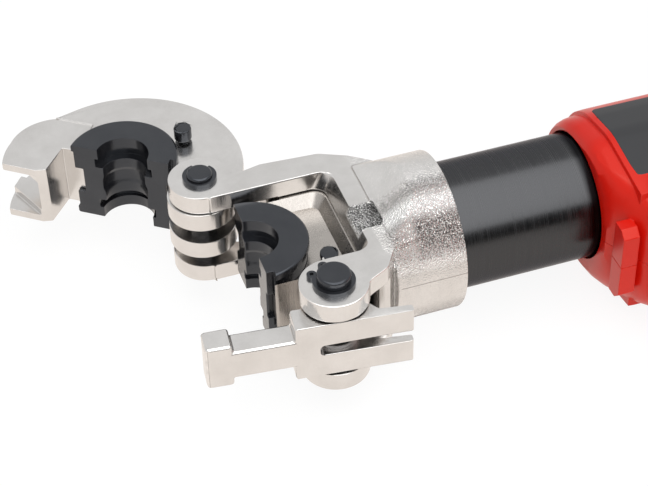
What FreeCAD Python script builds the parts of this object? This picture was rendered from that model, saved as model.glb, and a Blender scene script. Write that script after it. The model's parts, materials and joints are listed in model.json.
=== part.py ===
import FreeCAD, Part
import math
import os

from FreeCAD import Vector

os.makedirs("parts", exist_ok=True)

# Cordless pipe press tool, lying on its side with the hook jaw and the latch swung open.
# Lengths in mm. X runs forward along the tool axis, Y towards the latch and the handle,
# Z along the hinge pins. The origin is the centre of the collar's rear rim.

# Fits and gaps
RUNNING = 0.05
CLEAR = 0.3
SLIDE_GAP = 0.2

# Dies: two equal halves
DIE_R = 21.0
DIE_RIM_R = 21.9
DIE_GROOVE_R = 17.6
DIE_GROOVE_HALF = 6.0
DIE_HALF = 17.35
DIE_RIM_T = 3.2
DIE_BORE_R = 10.5
DIE_RELIEF_R = 12.0
DIE_BULGE_R = 8.8
DIE_WAIST_R = 9.5
DIE_MOUTH_LEN = 5.0
DIE_RELIEF_LEN = 4.0
DIE_NOTCH_W = 2.6
DIE_NOTCH_D = 3.0
DIE_EDGE = 0.6
DIE_CLOSED_X = 92.6
DIE_TOUCH = 0.2

# Yoke
COLLAR_R = 31.0
COLLAR_CROWN_X = 13.0
COLLAR_SHOULDER_X = 28.0
PLATE_FOOT_X = 29.0
CROWN_ROUND = 12.0
PLATE_HALF = 21.3
EAR_GAP_HALF = 13.4
CORE_HALF_Y = 27.6
CORE_FRONT_X = 36.4
CUT_HALF_Y = 23.3
CUT_BACK_TOP_X = 35.6
CUT_BACK_LOW_X = 39.2
CUT_CORNER_R = 5.5
CHANNEL_HALF_Y = 25.4
SPIGOT_R = 23.0
SPIGOT_LEN = 22.0
SPIGOT_SEAT = 0.2
HOOK_PIN_X = 84.0
HOOK_PIN_Y = -36.0
HOOK_BOSS_R = 12.4
LATCH_PIN_X = 54.8
LATCH_PIN_Y = 36.4
LATCH_BOSS_R = 13.0
FAR_ARM_END_X = 61.0
FAR_ARM_Y = -34.6
GROOVE_LOW_Y = 0.0
GROOVE_HIGH_Y = 12.6
GROOVE_REAR_X = 22.5
GROOVE_DEPTH = 2.6

# Hinge pins and their clips
HOOK_PIN_R = 5.0
LATCH_PIN_R = 6.3
HOOK_PIN_HALF = 24.2
LATCH_PIN_HALF = 26.2
CLIP_T = 1.4
CLIP_WIDTH = 1.6
CLIP_NECK = 0.8
CLIP_GAP_DEG = 60.0
EARED_CLIP_GAP_DEG = 30.0
CLIP_EAR_R = 1.9
CLIP_EAR_HOLE_R = 0.8

# Hook jaw, drawn where it stands when it is closed, then turned open
HOOK_SWING_DEG = 126.5
HOOK_HALF = 13.9
NOSE_HALF = 13.4
NOSE_BACK_X = 111.2
NOSE_LOW_Y = 20.0
HOOK_FACE_X = 94.5
HOOK_BACK_CX = 90.0
HOOK_BACK_CY = -4.1
HOOK_BACK_R = 44.5
HOOK_BACK_END_X = 117.0
NOSE_CORNER_X = 111.4
NOSE_CORNER_Y = 35.8
NOSE_TOP_Y = 47.6
NOSE_TIP_X = 79.0
NOSE_TIP_Y = 45.4
WEB_LOW_Y = 27.3
WEB_HIGH_Y = 31.0
WEB_FRONT_X = 78.8
WEB_STEP_X = 80.3
WEB_END_Y = 26.4
SLOT_HALF = 10.0
LIP_HALF = 7.0
RAMP_TOP_X = 89.4
KNUCKLE_R = 13.2
KNUCKLE_HALF = 13.2
KNUCKLE_GROOVES = ((-0.6, 5.4), (-13.3, -8.3))
HOOK_BUTTON_X = 112.1
HOOK_BUTTON_Y = -18.2
EAR_SWING_R = 14.9

# Latch, drawn straight along its own length from its pin, then turned a little inwards
LATCH_LEAN_DEG = -6.3
LATCH_FRONT = 12.2
LATCH_THICK = 10.4
LATCH_TAIL_X = -26.7
LATCH_BLOCK_X = 17.3
LATCH_HEAD_X = 39.9
LATCH_HEAD_LEN = 10.0
LATCH_SHANK_HALF = 6.4
LATCH_HEAD_HALF = 9.8
LATCH_BLOCK_HALF = 12.6
LATCH_HUB_R = 10.3
LATCH_TAIL_T = 3.0
LATCH_SLOT_X = 8.1
LATCH_SLOT_HALF = 2.5
LATCH_SLOT_R = 1.8
LATCH_HEAD_BEVEL = 4.6
LATCH_SPRING_WIRE_R = 0.9
LATCH_SPRING_TURNS = 1.5

# Die holder, its rod and the parts of the ram
RAM_STROKE = 17.3
HOLDER_BACK_X = 37.4
HOLDER_FRONT_X = 72.6
HOLDER_HALF_Y = 25.0
HOLDER_NARROW_HALF_Y = 22.3
HOLDER_RAIL_END_X = 56.6
HOLDER_HALF_Z = 13.1
HOLDER_POCKET_X = 39.6
HOLDER_WALL_SLOPE = 3.4
HOLDER_FLOOR_Z = 8.6
HOLDER_BUTTON_X = 48.1
HOLDER_BUTTON_Y = 11.0
ROD_R = 9.0
ROD_SPIGOT_R = 6.0
ROD_SPIGOT_LEN = 9.0
PISTON_X = -40.0
PISTON_LEN = 14.0
PISTON_GROOVE_W = 4.0
PISTON_GROOVE_D = 3.0
SPRING_R = 13.2
SPRING_WIRE_R = 1.3
SPRING_TURNS = 7

# Die buttons
BUTTON_R = 3.5
UPPER_BUTTON_H = 5.2
LOWER_BUTTON_H = 2.3
BUTTON_LIFT = 1.1
BUTTON_STEM_R = 1.8
BUTTON_STEM_LEN = 7.0
BUTTON_PRESS = 0.8

# Cylinder
CYLINDER_R = 25.0
CYLINDER_BORE_R = 18.0
CYLINDER_BACK_X = -104.0
CYLINDER_FLOOR_X = -94.0
GLAND_BACK_X = 12.0
SWIVEL_R = 15.0
SWIVEL_LEN = 14.0
FEED_R = 2.0

# Housing
WALL = 2.6
BODY_LOW_Y = -28.8
BODY_HIGH_Y = 55.0
BODY_HALF_Z = 34.0
BODY_CORNER_R = 14.0
BODY_MID_Y = 8.0
BODY_MID_R = 24.0
FAR_FALL = 0.16
NEAR_FALL = 0.17
BODY_FRONT_X = -56.6
BODY_REAR_X = -276.0
BAND_FRONT_X = -64.6
BAND_END_Y = 38.5
BAND_STEP = 1.8
FRONT_HOLE_R = 25.8
DUST_RING_FRONT_X = -60.5
DUST_RING_BACK_X = -67.0
DUST_RING_WALL = 1.5
TAIL_LEN = 34.0
HANDLE_TOP_Y = 47.0
HANDLE_LOW_Y = 128.0
HANDLE_FRONT_X = -146.0
HANDLE_DEPTH = 44.0
HANDLE_RAKE = 12.0
HANDLE_HALF_Z = 19.0
HANDLE_R = 14.0
GRIP_T = 1.4
GRIP_FRONT_X = -178.0
GRIP_LOW_Y = 60.0
GRIP_HIGH_Y = 116.0
SHOE_LOW_Y = 124.0
SHOE_HIGH_Y = 139.0
SHOE_FRONT_X = -118.0
SHOE_BACK_X = -222.0
SHOE_HALF_Z = 34.0
SHOE_R = 9.0
RAIL_FRONT_X = -126.0
RAIL_BACK_X = -208.0
RAIL_HALF_Z = 27.0
RAIL_T = 3.0
RAIL_NECK_HALF_Z = 23.0
RAIL_NECK_T = 3.0
RIB_FRONT_X = -55.8
RIB_BACK_X = -62.4
RIB_Y = 45.2
RIB_HALF_Z = 17.0
RIB_BEVEL = 3.0
RIB_ROOT = 8.0
PANEL_FRONT_X = -69.0
PANEL_BACK_X = -232.0
PANEL_LOW_Y = -12.0
PANEL_HIGH_Y = 30.0
PANEL_T = 1.2
PANEL_R = 7.0
PANEL_GAP = 0.1
VENT_COUNT = 6
VENT_PITCH = 5.0
VENT_W = 2.2
VENT_LEN = 26.0
VENT_Y = 10.0
VENT_FIRST_X = -266.0
SCREW_HEAD_R = 3.4
SCREW_HEAD_T = 2.0
SCREW_STEM_R = 1.6
SCREW_STEM_LEN = 12.0
SCREW_BOSS_R = 5.2
BARREL_SCREWS = ((-82.0, 40.0), (-208.0, 42.0), (-252.0, 38.0))
BARREL_SCREW_Z = 24.0
HANDLE_SCREWS = ((-184.0, 100.0),)
HANDLE_SCREW_Z = 13.0
SHOE_SCREWS = ((-132.0, 131.5), (-208.0, 131.5))
SHOE_SCREW_Z = 29.0

# Trigger and its guard
TRIGGER_FRONT_X = -126.0
TRIGGER_BACK_X = -153.0
TRIGGER_LOW_Y = 57.0
TRIGGER_HIGH_Y = 84.0
TRIGGER_HALF_Z = 7.0
TRIGGER_PULL = 6.0
TRIGGER_PORT_GAP = 0.6
SWITCH_GAP = 1.0
SWITCH_LEN = 24.0
GUARD_FRONT_X = -96.0
GUARD_T = 7.0
GUARD_HALF_Z = 8.0
GUARD_HIGH_Y = 98.0

# Release button on the flank
RELEASE_X = -124.0
RELEASE_Y = 40.0
RELEASE_R = 6.5
RELEASE_LOW_Z = BODY_HALF_Z - 12.0
RELEASE_HIGH_Z = BODY_HALF_Z - 3.0
RELEASE_PRESS = 2.0

# Light under the barrel
LIGHT_X = -90.0
LIGHT_R = 4.5
LIGHT_T = 4.0

# Drive inside the housing
PUMP_FRONT_X = -106.0
PUMP_BACK_X = -164.0
PUMP_R = 26.0
PUMP_FLANGE_T = 6.0
CAM_ROOM_R = 10.5
CAM_ROOM_LEN = 24.0
ECCENTRIC_OFFSET = 1.4
ECCENTRIC_R = 7.0
ECCENTRIC_LEN = 10.0
ECCENTRIC_X = -150.0
PLUNGER_R = 4.5
PLUNGER_LEN = 15.0
SHAFT_R = 4.0
SHAFT_FRONT_X = -142.0
BLADDER_SIDE = 16.0
BLADDER_UNDER = 11.0
BLADDER_FRONT_X = -134.0
BLADDER_BACK_X = -162.0
GEARBOX_R = 25.0
GEARBOX_LEN = 38.0
GEARBOX_PLATE_T = 6.0
SUN_R = 4.45
PLANET_R = 6.25
PLANET_SPACE = 0.1
PLANET_T = 9.0
PLANET_COUNT = 3
CARRIER_R = 16.5
CARRIER_T = 5.0
RING_R = 17.2
MOTOR_R = 23.0
MOTOR_LEN = 54.0
MOTOR_CAN_T = 2.2
MOTOR_SHAFT_R = 2.5
ROTOR_R = 13.0
ROTOR_LEN = 40.0
STATOR_INNER_R = 13.6
FAN_R = 20.0
FAN_T = 5.0
FAN_GAP = 3.0
FAN_BLADES = 9
FAN_BLADE_T = 1.4
FAN_HUB_R = 6.0

# Battery
BATTERY_FRONT_X = -112.0
BATTERY_BACK_X = -228.0
BATTERY_LOW_Y = 139.6
BATTERY_HIGH_Y = 196.0
BATTERY_HALF_Z = 36.0
BATTERY_R = 10.0
BATTERY_WALL = 2.4
BATTERY_SPLIT_Y = 170.0
BATTERY_RAIL_GAP = 0.5
BLADE_T = 1.0
BLADE_H = 4.0
BLADE_LEN = 12.0
BLADE_PITCH = 6.0
BLADE_COUNT = 3
BLADE_ROOM_HALF_Z = 9.0
CELL_R = 9.2
CELL_LEN = 65.0
CELL_COUNT = 5
CELL_PITCH = 19.6
CELL_MIDDLE_X = -170.0
CELL_ROWS_Y = (161.8, 181.2)
FRAME_LOW_Z = 22.0
FRAME_T = 4.0
KEY_X = -136.0
KEY_LEN = 22.0
KEY_LOW_Y = 146.0
KEY_H = 11.0
KEY_T = 2.2
KEY_GAP = 0.4
KEY_PRESS = 1.2


def box(x0, x1, y0, y1, z0, z1):
    """A box between two corners."""
    low = Vector(min(x0, x1), min(y0, y1), min(z0, z1))
    return Part.makeBox(abs(x1 - x0), abs(y1 - y0), abs(z1 - z0), low)


def rod_x(radius, x0, x1, y=0.0, z=0.0):
    """A cylinder along X."""
    return Part.makeCylinder(radius, x1 - x0, Vector(x0, y, z), Vector(1, 0, 0))


def rod_y(radius, y0, y1, x=0.0, z=0.0):
    """A cylinder along Y."""
    return Part.makeCylinder(radius, y1 - y0, Vector(x, y0, z), Vector(0, 1, 0))


def rod_z(radius, z0, z1, x=0.0, y=0.0):
    """A cylinder along Z."""
    return Part.makeCylinder(radius, z1 - z0, Vector(x, y, z0), Vector(0, 0, 1))


def corner_points(points, i):
    """Where the rounding of one corner starts, its middle and where it ends."""
    here, radius = Vector(points[i][0], points[i][1], 0), points[i][2]
    back = Vector(*points[i - 1][:2], 0) - here
    ahead = Vector(*points[(i + 1) % len(points)][:2], 0) - here
    back.normalize()
    ahead.normalize()
    if not radius:
        return here, here, here
    half = back.getAngle(ahead) / 2
    reach = radius / math.tan(half)
    bisector = (back + ahead).normalize()
    middle = here + bisector * (radius / math.sin(half) - radius)
    return here + back * reach, middle, here + ahead * reach


def outline(points):
    """A closed wire in the XY plane through (x, y, corner radius) points."""
    corners = [corner_points(points, i) for i in range(len(points))]
    edges = []
    for i, (start, middle, end) in enumerate(corners):
        if points[i][2]:
            edges.append(Part.Arc(start, middle, end).toShape())
        following = corners[(i + 1) % len(corners)][0]
        if end.distanceToPoint(following) > 1e-6:
            edges.append(Part.LineSegment(end, following).toShape())
    return Part.Wire(edges)


def prism_z(points, z0, z1):
    """An XY outline extruded from z0 to z1."""
    face = Part.Face(outline(points))
    face.translate(Vector(0, 0, z0))
    return face.extrude(Vector(0, 0, z1 - z0))


def prism_y(points, y0, y1):
    """An outline of (x, z, radius) points extruded from y0 to y1."""
    solid = prism_z([(x, -z, r) for x, z, r in points], y0, y1)
    solid.rotate(Vector(0, 0, 0), Vector(1, 0, 0), -90)
    return solid


def prism_x(points, x0, x1):
    """An outline of (y, z, radius) points extruded from x0 to x1."""
    solid = prism_z(points, x0, x1)
    solid.rotate(Vector(0, 0, 0), Vector(1, 1, 1), 120)
    return solid


def rectangle(low_u, high_u, low_v, high_v, radius):
    """Rounded rectangle points."""
    return [
        (low_u, low_v, radius),
        (high_u, low_v, radius),
        (high_u, high_v, radius),
        (low_u, high_v, radius),
    ]


def turned(profile, axis_x, axis_y):
    """A solid turned about a Z axis from (radius, z) points."""
    points = [Vector(r, 0, z) for r, z in profile]
    face = Part.Face(Part.makePolygon(points + points[:1]))
    solid = face.revolve(Vector(0, 0, 0), Vector(0, 0, 1), 360)
    solid.translate(Vector(axis_x, axis_y, 0))
    return solid


def joined(shapes):
    """One solid from several that touch or overlap."""
    return shapes[0].multiFuse(shapes[1:]).removeSplitter()


def mirror_z(shape):
    """The shape reflected in the XY plane."""
    return shape.mirror(Vector(0, 0, 0), Vector(0, 0, 1))


def swung(shape, x, y, degrees):
    """The shape turned about a Z axis through (x, y)."""
    moved = shape.copy()
    moved.rotate(Vector(x, y, 0), Vector(0, 0, 1), degrees)
    return moved


def opened(shape):
    """A hook-side shape turned from its closed place to the open one."""
    return swung(shape, HOOK_PIN_X, HOOK_PIN_Y, -HOOK_SWING_DEG)


def save(name, shape):
    """Write one node."""
    shape.exportStep("parts/" + name + ".step")


def die_profile():
    """The bore of a die: mouth, relief, bulge, waist, bulge, relief, mouth."""
    top = DIE_HALF
    mouth = top - DIE_MOUTH_LEN
    relief = mouth - DIE_RELIEF_LEN
    bulge = relief / 2
    rows = [(DIE_BORE_R, top), (DIE_BORE_R, mouth), (DIE_RELIEF_R, mouth)]
    rows += [(DIE_RELIEF_R, relief), (DIE_BULGE_R, relief), (DIE_BULGE_R, bulge)]
    rows += [(DIE_WAIST_R, bulge / 2)]
    return rows + [(r, -z) for r, z in reversed(rows)]


def die():
    """A half die about the Z axis that fills x > 0, its parting face in the YZ plane."""
    rim_low = DIE_HALF - DIE_RIM_T
    outer = [
        (0, -DIE_HALF),
        (DIE_RIM_R - DIE_EDGE, -DIE_HALF),
        (DIE_RIM_R, DIE_EDGE - DIE_HALF),
        (DIE_RIM_R, -rim_low),
        (DIE_R, -rim_low),
        (DIE_R, -DIE_GROOVE_HALF),
        (DIE_GROOVE_R, -DIE_GROOVE_HALF),
    ]
    outer += [(r, -z) for r, z in reversed(outer)]
    body = turned(outer, 0, 0)
    bore = [(0, DIE_HALF + 1), (DIE_BORE_R, DIE_HALF + 1)] + die_profile()
    bore += [(DIE_BORE_R, -DIE_HALF - 1), (0, -DIE_HALF - 1)]
    body = body.cut(turned(bore, 0, 0))
    reach = DIE_RIM_R + 1
    body = body.common(box(0, reach, -reach, reach, -reach, reach))
    notch_y = DIE_RIM_R - DIE_NOTCH_W
    return body.cut(box(-1, DIE_NOTCH_D, -reach, -notch_y, -reach, reach))


def upper_die():
    """The die that the hook carries."""
    half = die()
    half.translate(Vector(DIE_CLOSED_X + DIE_TOUCH / 2, 0, 0))
    return opened(half)


def lower_die_x():
    """Where the lower die's parting face stands with the ram drawn back."""
    return DIE_CLOSED_X - DIE_TOUCH - RAM_STROKE


def lower_die():
    """The die that the ram carries: the same piece turned half round."""
    half = swung(die(), 0, 0, 180)
    half.translate(Vector(lower_die_x(), 0, 0))
    return half


def die_room(center_x, web_half):
    """What a die's seat takes out: the flanks above and below a web that fits its groove."""
    tall = DIE_HALF + 1
    room = rod_z(DIE_R + SLIDE_GAP, web_half, tall, center_x)
    room = room.fuse(rod_z(DIE_R + SLIDE_GAP, -tall, -web_half, center_x))
    return room.fuse(rod_z(DIE_GROOVE_R + SLIDE_GAP, -tall, tall, center_x))


def yoke_plates():
    """The arms of the yoke, as one thick plate before it is opened."""
    inner = CUT_HALF_Y - 1
    points = [
        (4.0, -20.0, 0),
        (14.6, -20.5, 4),
        (26.5, -29.5, 5),
        (37.0, FAR_ARM_Y, 6),
        (60.0, -36.2, 4),
        (73.0, -33.5, 0),
        (HOOK_PIN_X, -31.0, 0),
        (HOOK_PIN_X, -inner, 0),
        (CUT_BACK_LOW_X + CUT_CORNER_R, -inner, 0),
        (CUT_BACK_LOW_X + CUT_CORNER_R, inner, 0),
        (LATCH_PIN_X, inner, 0),
        (LATCH_PIN_X, LATCH_PIN_Y, 0),
        (LATCH_PIN_X - 7.5, LATCH_PIN_Y + 10.0, 0),
        (41.8, 39.9, 5),
        (33.6, 35.6, 5),
        (26.5, 24.0, 5),
        (19.7, 19.5, 4),
        (4.0, 20.0, 0),
    ]
    plate = prism_z(points, -PLATE_HALF, PLATE_HALF)
    hook_boss = rod_z(HOOK_BOSS_R, -PLATE_HALF, PLATE_HALF, HOOK_PIN_X, HOOK_PIN_Y)
    latch_boss = rod_z(LATCH_BOSS_R, -PLATE_HALF, PLATE_HALF, LATCH_PIN_X, LATCH_PIN_Y)
    return joined([plate, hook_boss, latch_boss])


def yoke_mouth(up):
    """The U cut between the arms on one side, its back wall sloping."""
    slope = (CUT_BACK_LOW_X - CUT_BACK_TOP_X) / (PLATE_HALF - EAR_GAP_HALF)
    wires = []
    for z, back in (
        (PLATE_HALF + 1, CUT_BACK_TOP_X - slope),
        (EAR_GAP_HALF - 1, CUT_BACK_LOW_X + slope),
    ):
        far = HOOK_PIN_X + HOOK_BOSS_R + 1
        points = [
            (back, -CUT_HALF_Y, CUT_CORNER_R),
            (far, -CUT_HALF_Y, 0),
            (far, CUT_HALF_Y, 0),
            (back, CUT_HALF_Y, CUT_CORNER_R),
        ]
        wire = outline(points)
        wire.translate(Vector(0, 0, up * z))
        wires.append(wire)
    return Part.makeLoft(wires, True, True)


def crown_block():
    """What bounds the collar above and below: its crown falls in one curve to the plates."""
    top = COLLAR_R + 1
    halves = []
    for up in (1, -1):
        points = [
            (-1, 0, 0),
            (COLLAR_SHOULDER_X + 20, 0, 0),
            (COLLAR_SHOULDER_X + 20, up * PLATE_HALF, 0),
            (PLATE_FOOT_X, up * PLATE_HALF, CROWN_ROUND),
            (COLLAR_CROWN_X, up * COLLAR_R, CROWN_ROUND),
            (-1, up * COLLAR_R, 0),
        ]
        halves.append(prism_y(points, -top, top))
    return joined(halves)


def yoke_gap():
    """The room between the yoke's arms: the ram's channel, the hook and the latch."""
    low, high = -EAR_GAP_HALF, EAR_GAP_HALF
    far_end = HOOK_PIN_X + HOOK_BOSS_R + 1
    channel = box(CORE_FRONT_X, far_end, -CHANNEL_HALF_Y, CHANNEL_HALF_Y, low, high)
    hook_side = box(FAR_ARM_END_X, far_end, -52, 0, low, high)
    latch_side = [
        (CORE_FRONT_X, 0, 0),
        (far_end, 0, 0),
        (far_end, 60, 0),
        (20, 60, 0),
        (20, COLLAR_R + 2, 0),
        (CORE_FRONT_X, COLLAR_R + 2, 0),
    ]
    return joined([channel, hook_side, prism_z(latch_side, low, high)])


def yoke():
    """Collar, core, arms and ears."""
    collar = rod_x(COLLAR_R, 0, COLLAR_SHOULDER_X).common(crown_block())
    core = box(10, CORE_FRONT_X, -CORE_HALF_Y, CORE_HALF_Y, -PLATE_HALF, PLATE_HALF)
    far_wall = box(10, FAR_ARM_END_X, FAR_ARM_Y, 0, -EAR_GAP_HALF, EAR_GAP_HALF)
    plates = yoke_plates()
    low, high = -EAR_GAP_HALF, EAR_GAP_HALF
    inner_core = box(10, CORE_FRONT_X, -CORE_HALF_Y, CORE_HALF_Y, low, high)
    core = core.common(joined([plates, inner_core]))
    body = joined([collar, core, plates, far_wall.common(plates)])
    body = body.cut(yoke_gap())
    for up in (1, -1):
        body = body.cut(yoke_mouth(up))
        valley = box(
            GROOVE_REAR_X,
            CUT_BACK_LOW_X,
            GROOVE_LOW_Y,
            GROOVE_HIGH_Y,
            up * (PLATE_HALF - GROOVE_DEPTH),
            up * (PLATE_HALF + 1),
        )
        body = body.cut(valley)
    body = body.cut(rod_x(SPIGOT_R, -1, SPIGOT_LEN + SPIGOT_SEAT))
    body = body.cut(rod_x(ROD_R + RUNNING, 0, CORE_FRONT_X + 1))
    tall = PLATE_HALF + 1
    body = body.cut(rod_z(HOOK_PIN_R, -tall, tall, HOOK_PIN_X, HOOK_PIN_Y))
    return body.cut(rod_z(LATCH_PIN_R, -tall, tall, LATCH_PIN_X, LATCH_PIN_Y))


def hinge_pin(radius, half_len, x, y):
    """A pin with a groove near each end for its clip."""
    neck = radius - CLIP_NECK
    low = PLATE_HALF
    high = low + CLIP_T
    half = [(0, 0), (radius, 0), (radius, low), (neck, low), (neck, high)]
    half += [(radius, high), (radius, half_len - DIE_EDGE), (radius - DIE_EDGE, half_len)]
    half += [(0, half_len)]
    upper = turned(half, 0, 0)
    pin = joined([upper, mirror_z(upper)])
    pin.translate(Vector(x, y, 0))
    return pin


def pin_clip(radius, x, y, opening_deg, eared):
    """A snap ring on the upper end of a pin, with its opening turned one way."""
    inner = radius - CLIP_NECK
    outer = radius + CLIP_WIDTH
    low = PLATE_HALF
    high = low + CLIP_T
    ring = rod_z(outer, low, high).cut(rod_z(inner, low - 1, high + 1))
    half = math.radians((EARED_CLIP_GAP_DEG if eared else CLIP_GAP_DEG) / 2)
    far = outer * 2
    spread = far * math.tan(half)
    gap = prism_z([(0, 0, 0), (far, -spread, 0), (far, spread, 0)], low - 1, high + 1)
    ring = ring.cut(gap)
    if eared:
        for side in (1, -1):
            middle = (inner + outer) / 2 + CLIP_EAR_R * 0.8
            ear_x = middle * math.cos(half)
            ear_y = side * (middle * math.sin(half) + CLIP_EAR_R * 0.5)
            ring = ring.fuse(rod_z(CLIP_EAR_R, low, high, ear_x, ear_y))
            ring = ring.cut(rod_z(inner, low - 1, high + 1))
            ring = ring.cut(rod_z(CLIP_EAR_HOLE_R, low - 1, high + 1, ear_x, ear_y))
    ring = swung(ring, 0, 0, opening_deg)
    ring.translate(Vector(x, y, 0))
    return ring.removeSplitter()


def hook_outline():
    """The closed hook's outline, anticlockwise from the knuckle."""

    def on_back(x, sign):
        rise = math.sqrt(HOOK_BACK_R**2 - (x - HOOK_BACK_CX) ** 2)
        return Vector(x, HOOK_BACK_CY + sign * rise, 0)

    start = on_back(HOOK_PIN_X, -1)
    middle = Vector(HOOK_BACK_CX + HOOK_BACK_R, HOOK_BACK_CY, 0)
    end = on_back(HOOK_BACK_END_X, 1)
    nose = [
        end,
        Vector(NOSE_CORNER_X, NOSE_CORNER_Y, 0),
    ]
    nose_arc = Part.Arc(nose[-1], Vector(104.4, 44.4, 0), Vector(92.0, NOSE_TOP_Y, 0))
    tip_arc = Part.Arc(
        Vector(92.0, NOSE_TOP_Y, 0), Vector(85.4, 47.3, 0), Vector(NOSE_TIP_X, NOSE_TIP_Y, 0)
    )
    inner = [
        Vector(NOSE_TIP_X, NOSE_TIP_Y, 0),
        Vector(WEB_FRONT_X, WEB_HIGH_Y, 0),
        Vector(WEB_STEP_X, WEB_LOW_Y, 0),
        Vector(HOOK_FACE_X, WEB_END_Y, 0),
        Vector(HOOK_FACE_X, -DIE_R - 0.8, 0),
        Vector(HOOK_PIN_X + KNUCKLE_R * math.cos(1.05), HOOK_PIN_Y + KNUCKLE_R * math.sin(1.05), 0),
        Vector(HOOK_PIN_X, HOOK_PIN_Y, 0),
        start,
    ]
    edges = [Part.Arc(start, middle, end).toShape()]
    edges += [Part.LineSegment(a, b).toShape() for a, b in zip(nose, nose[1:])]
    edges += [nose_arc.toShape(), tip_arc.toShape()]
    edges += [Part.LineSegment(a, b).toShape() for a, b in zip(inner, inner[1:])]
    return Part.Face(Part.Wire(edges))


def catch_line():
    """Two points of the face in the hook's slot that the latch head bears on, closed."""
    lean = math.radians(LATCH_LEAN_DEG)
    along = Vector(math.cos(lean), math.sin(lean), 0)
    across = Vector(-math.sin(lean), math.cos(lean), 0)
    pin = Vector(LATCH_PIN_X, LATCH_PIN_Y, 0)
    start = pin + along * (LATCH_HEAD_X - CLEAR)
    return start, start + across * (LATCH_FRONT + 8)


def nose_slot():
    """The slot in the nose: a ramp that lifts the latch head, two lips, and its pocket."""
    low, high = catch_line()
    pocket_end = low.x + LATCH_HEAD_LEN + 4 * CLEAR + 1.2
    top = NOSE_TOP_Y + 2
    middle = [
        (WEB_FRONT_X - 3, WEB_HIGH_Y, 0),
        (pocket_end, WEB_HIGH_Y, 0),
        (pocket_end, top, 0),
        (WEB_FRONT_X - 3, top, 0),
    ]
    ramp = [
        (WEB_FRONT_X - 3, WEB_HIGH_Y, 0),
        (WEB_FRONT_X, WEB_HIGH_Y, 0),
        (RAMP_TOP_X + 1, top, 0),
        (WEB_FRONT_X - 3, top, 0),
    ]
    slope = (high.x - low.x) / (high.y - low.y)
    pocket = [
        (low.x + slope * (WEB_HIGH_Y - low.y), WEB_HIGH_Y, 0),
        (pocket_end, WEB_HIGH_Y, 0),
        (pocket_end, top, 0),
        (low.x + slope * (top - low.y), top, 0),
    ]
    slot = prism_z(middle, -LIP_HALF, LIP_HALF)
    return joined(
        [
            slot,
            prism_z(ramp, -SLOT_HALF, SLOT_HALF),
            prism_z(pocket, -SLOT_HALF, SLOT_HALF),
        ]
    )


def hook_jaw():
    """The movable jaw."""
    face = hook_outline()
    face.translate(Vector(0, 0, -HOOK_HALF))
    body = face.extrude(Vector(0, 0, 2 * HOOK_HALF))
    for up in (1, -1):
        shave = box(
            WEB_FRONT_X - 5, NOSE_BACK_X, NOSE_LOW_Y, NOSE_TOP_Y + 2, up * NOSE_HALF, up * 20
        )
        body = body.cut(shave)
    tall = HOOK_HALF + 1
    for low, high in ((KNUCKLE_HALF, tall), (-tall, -KNUCKLE_HALF)):
        body = body.cut(rod_z(EAR_SWING_R, low, high, HOOK_PIN_X, HOOK_PIN_Y))
    rings = rod_z(KNUCKLE_R, -KNUCKLE_HALF, KNUCKLE_HALF, HOOK_PIN_X, HOOK_PIN_Y)
    body = joined([body, rings])
    for low, high in KNUCKLE_GROOVES:
        body = body.cut(rod_z(EAR_SWING_R, low, high, HOOK_PIN_X, HOOK_PIN_Y))
    body = body.cut(die_room(DIE_CLOSED_X + DIE_TOUCH / 2, DIE_GROOVE_HALF - SLIDE_GAP))
    body = body.cut(nose_slot())
    body = body.cut(rod_z(HOOK_PIN_R + RUNNING, -tall, tall, HOOK_PIN_X, HOOK_PIN_Y))
    stem_low = HOOK_HALF - BUTTON_STEM_LEN - BUTTON_PRESS - SLIDE_GAP
    stem_hole = rod_z(BUTTON_STEM_R + RUNNING, stem_low, tall, HOOK_BUTTON_X, HOOK_BUTTON_Y)
    return opened(body.cut(stem_hole))


def die_button(x, y, seat_z, height):
    """A spring button that holds a die: a round head on a stem."""
    head_low = seat_z + BUTTON_LIFT
    head = rod_z(BUTTON_R, head_low, head_low + height, x, y)
    stem = rod_z(BUTTON_STEM_R, seat_z - BUTTON_STEM_LEN, head_low + 1, x, y)
    return joined([head, stem])


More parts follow.
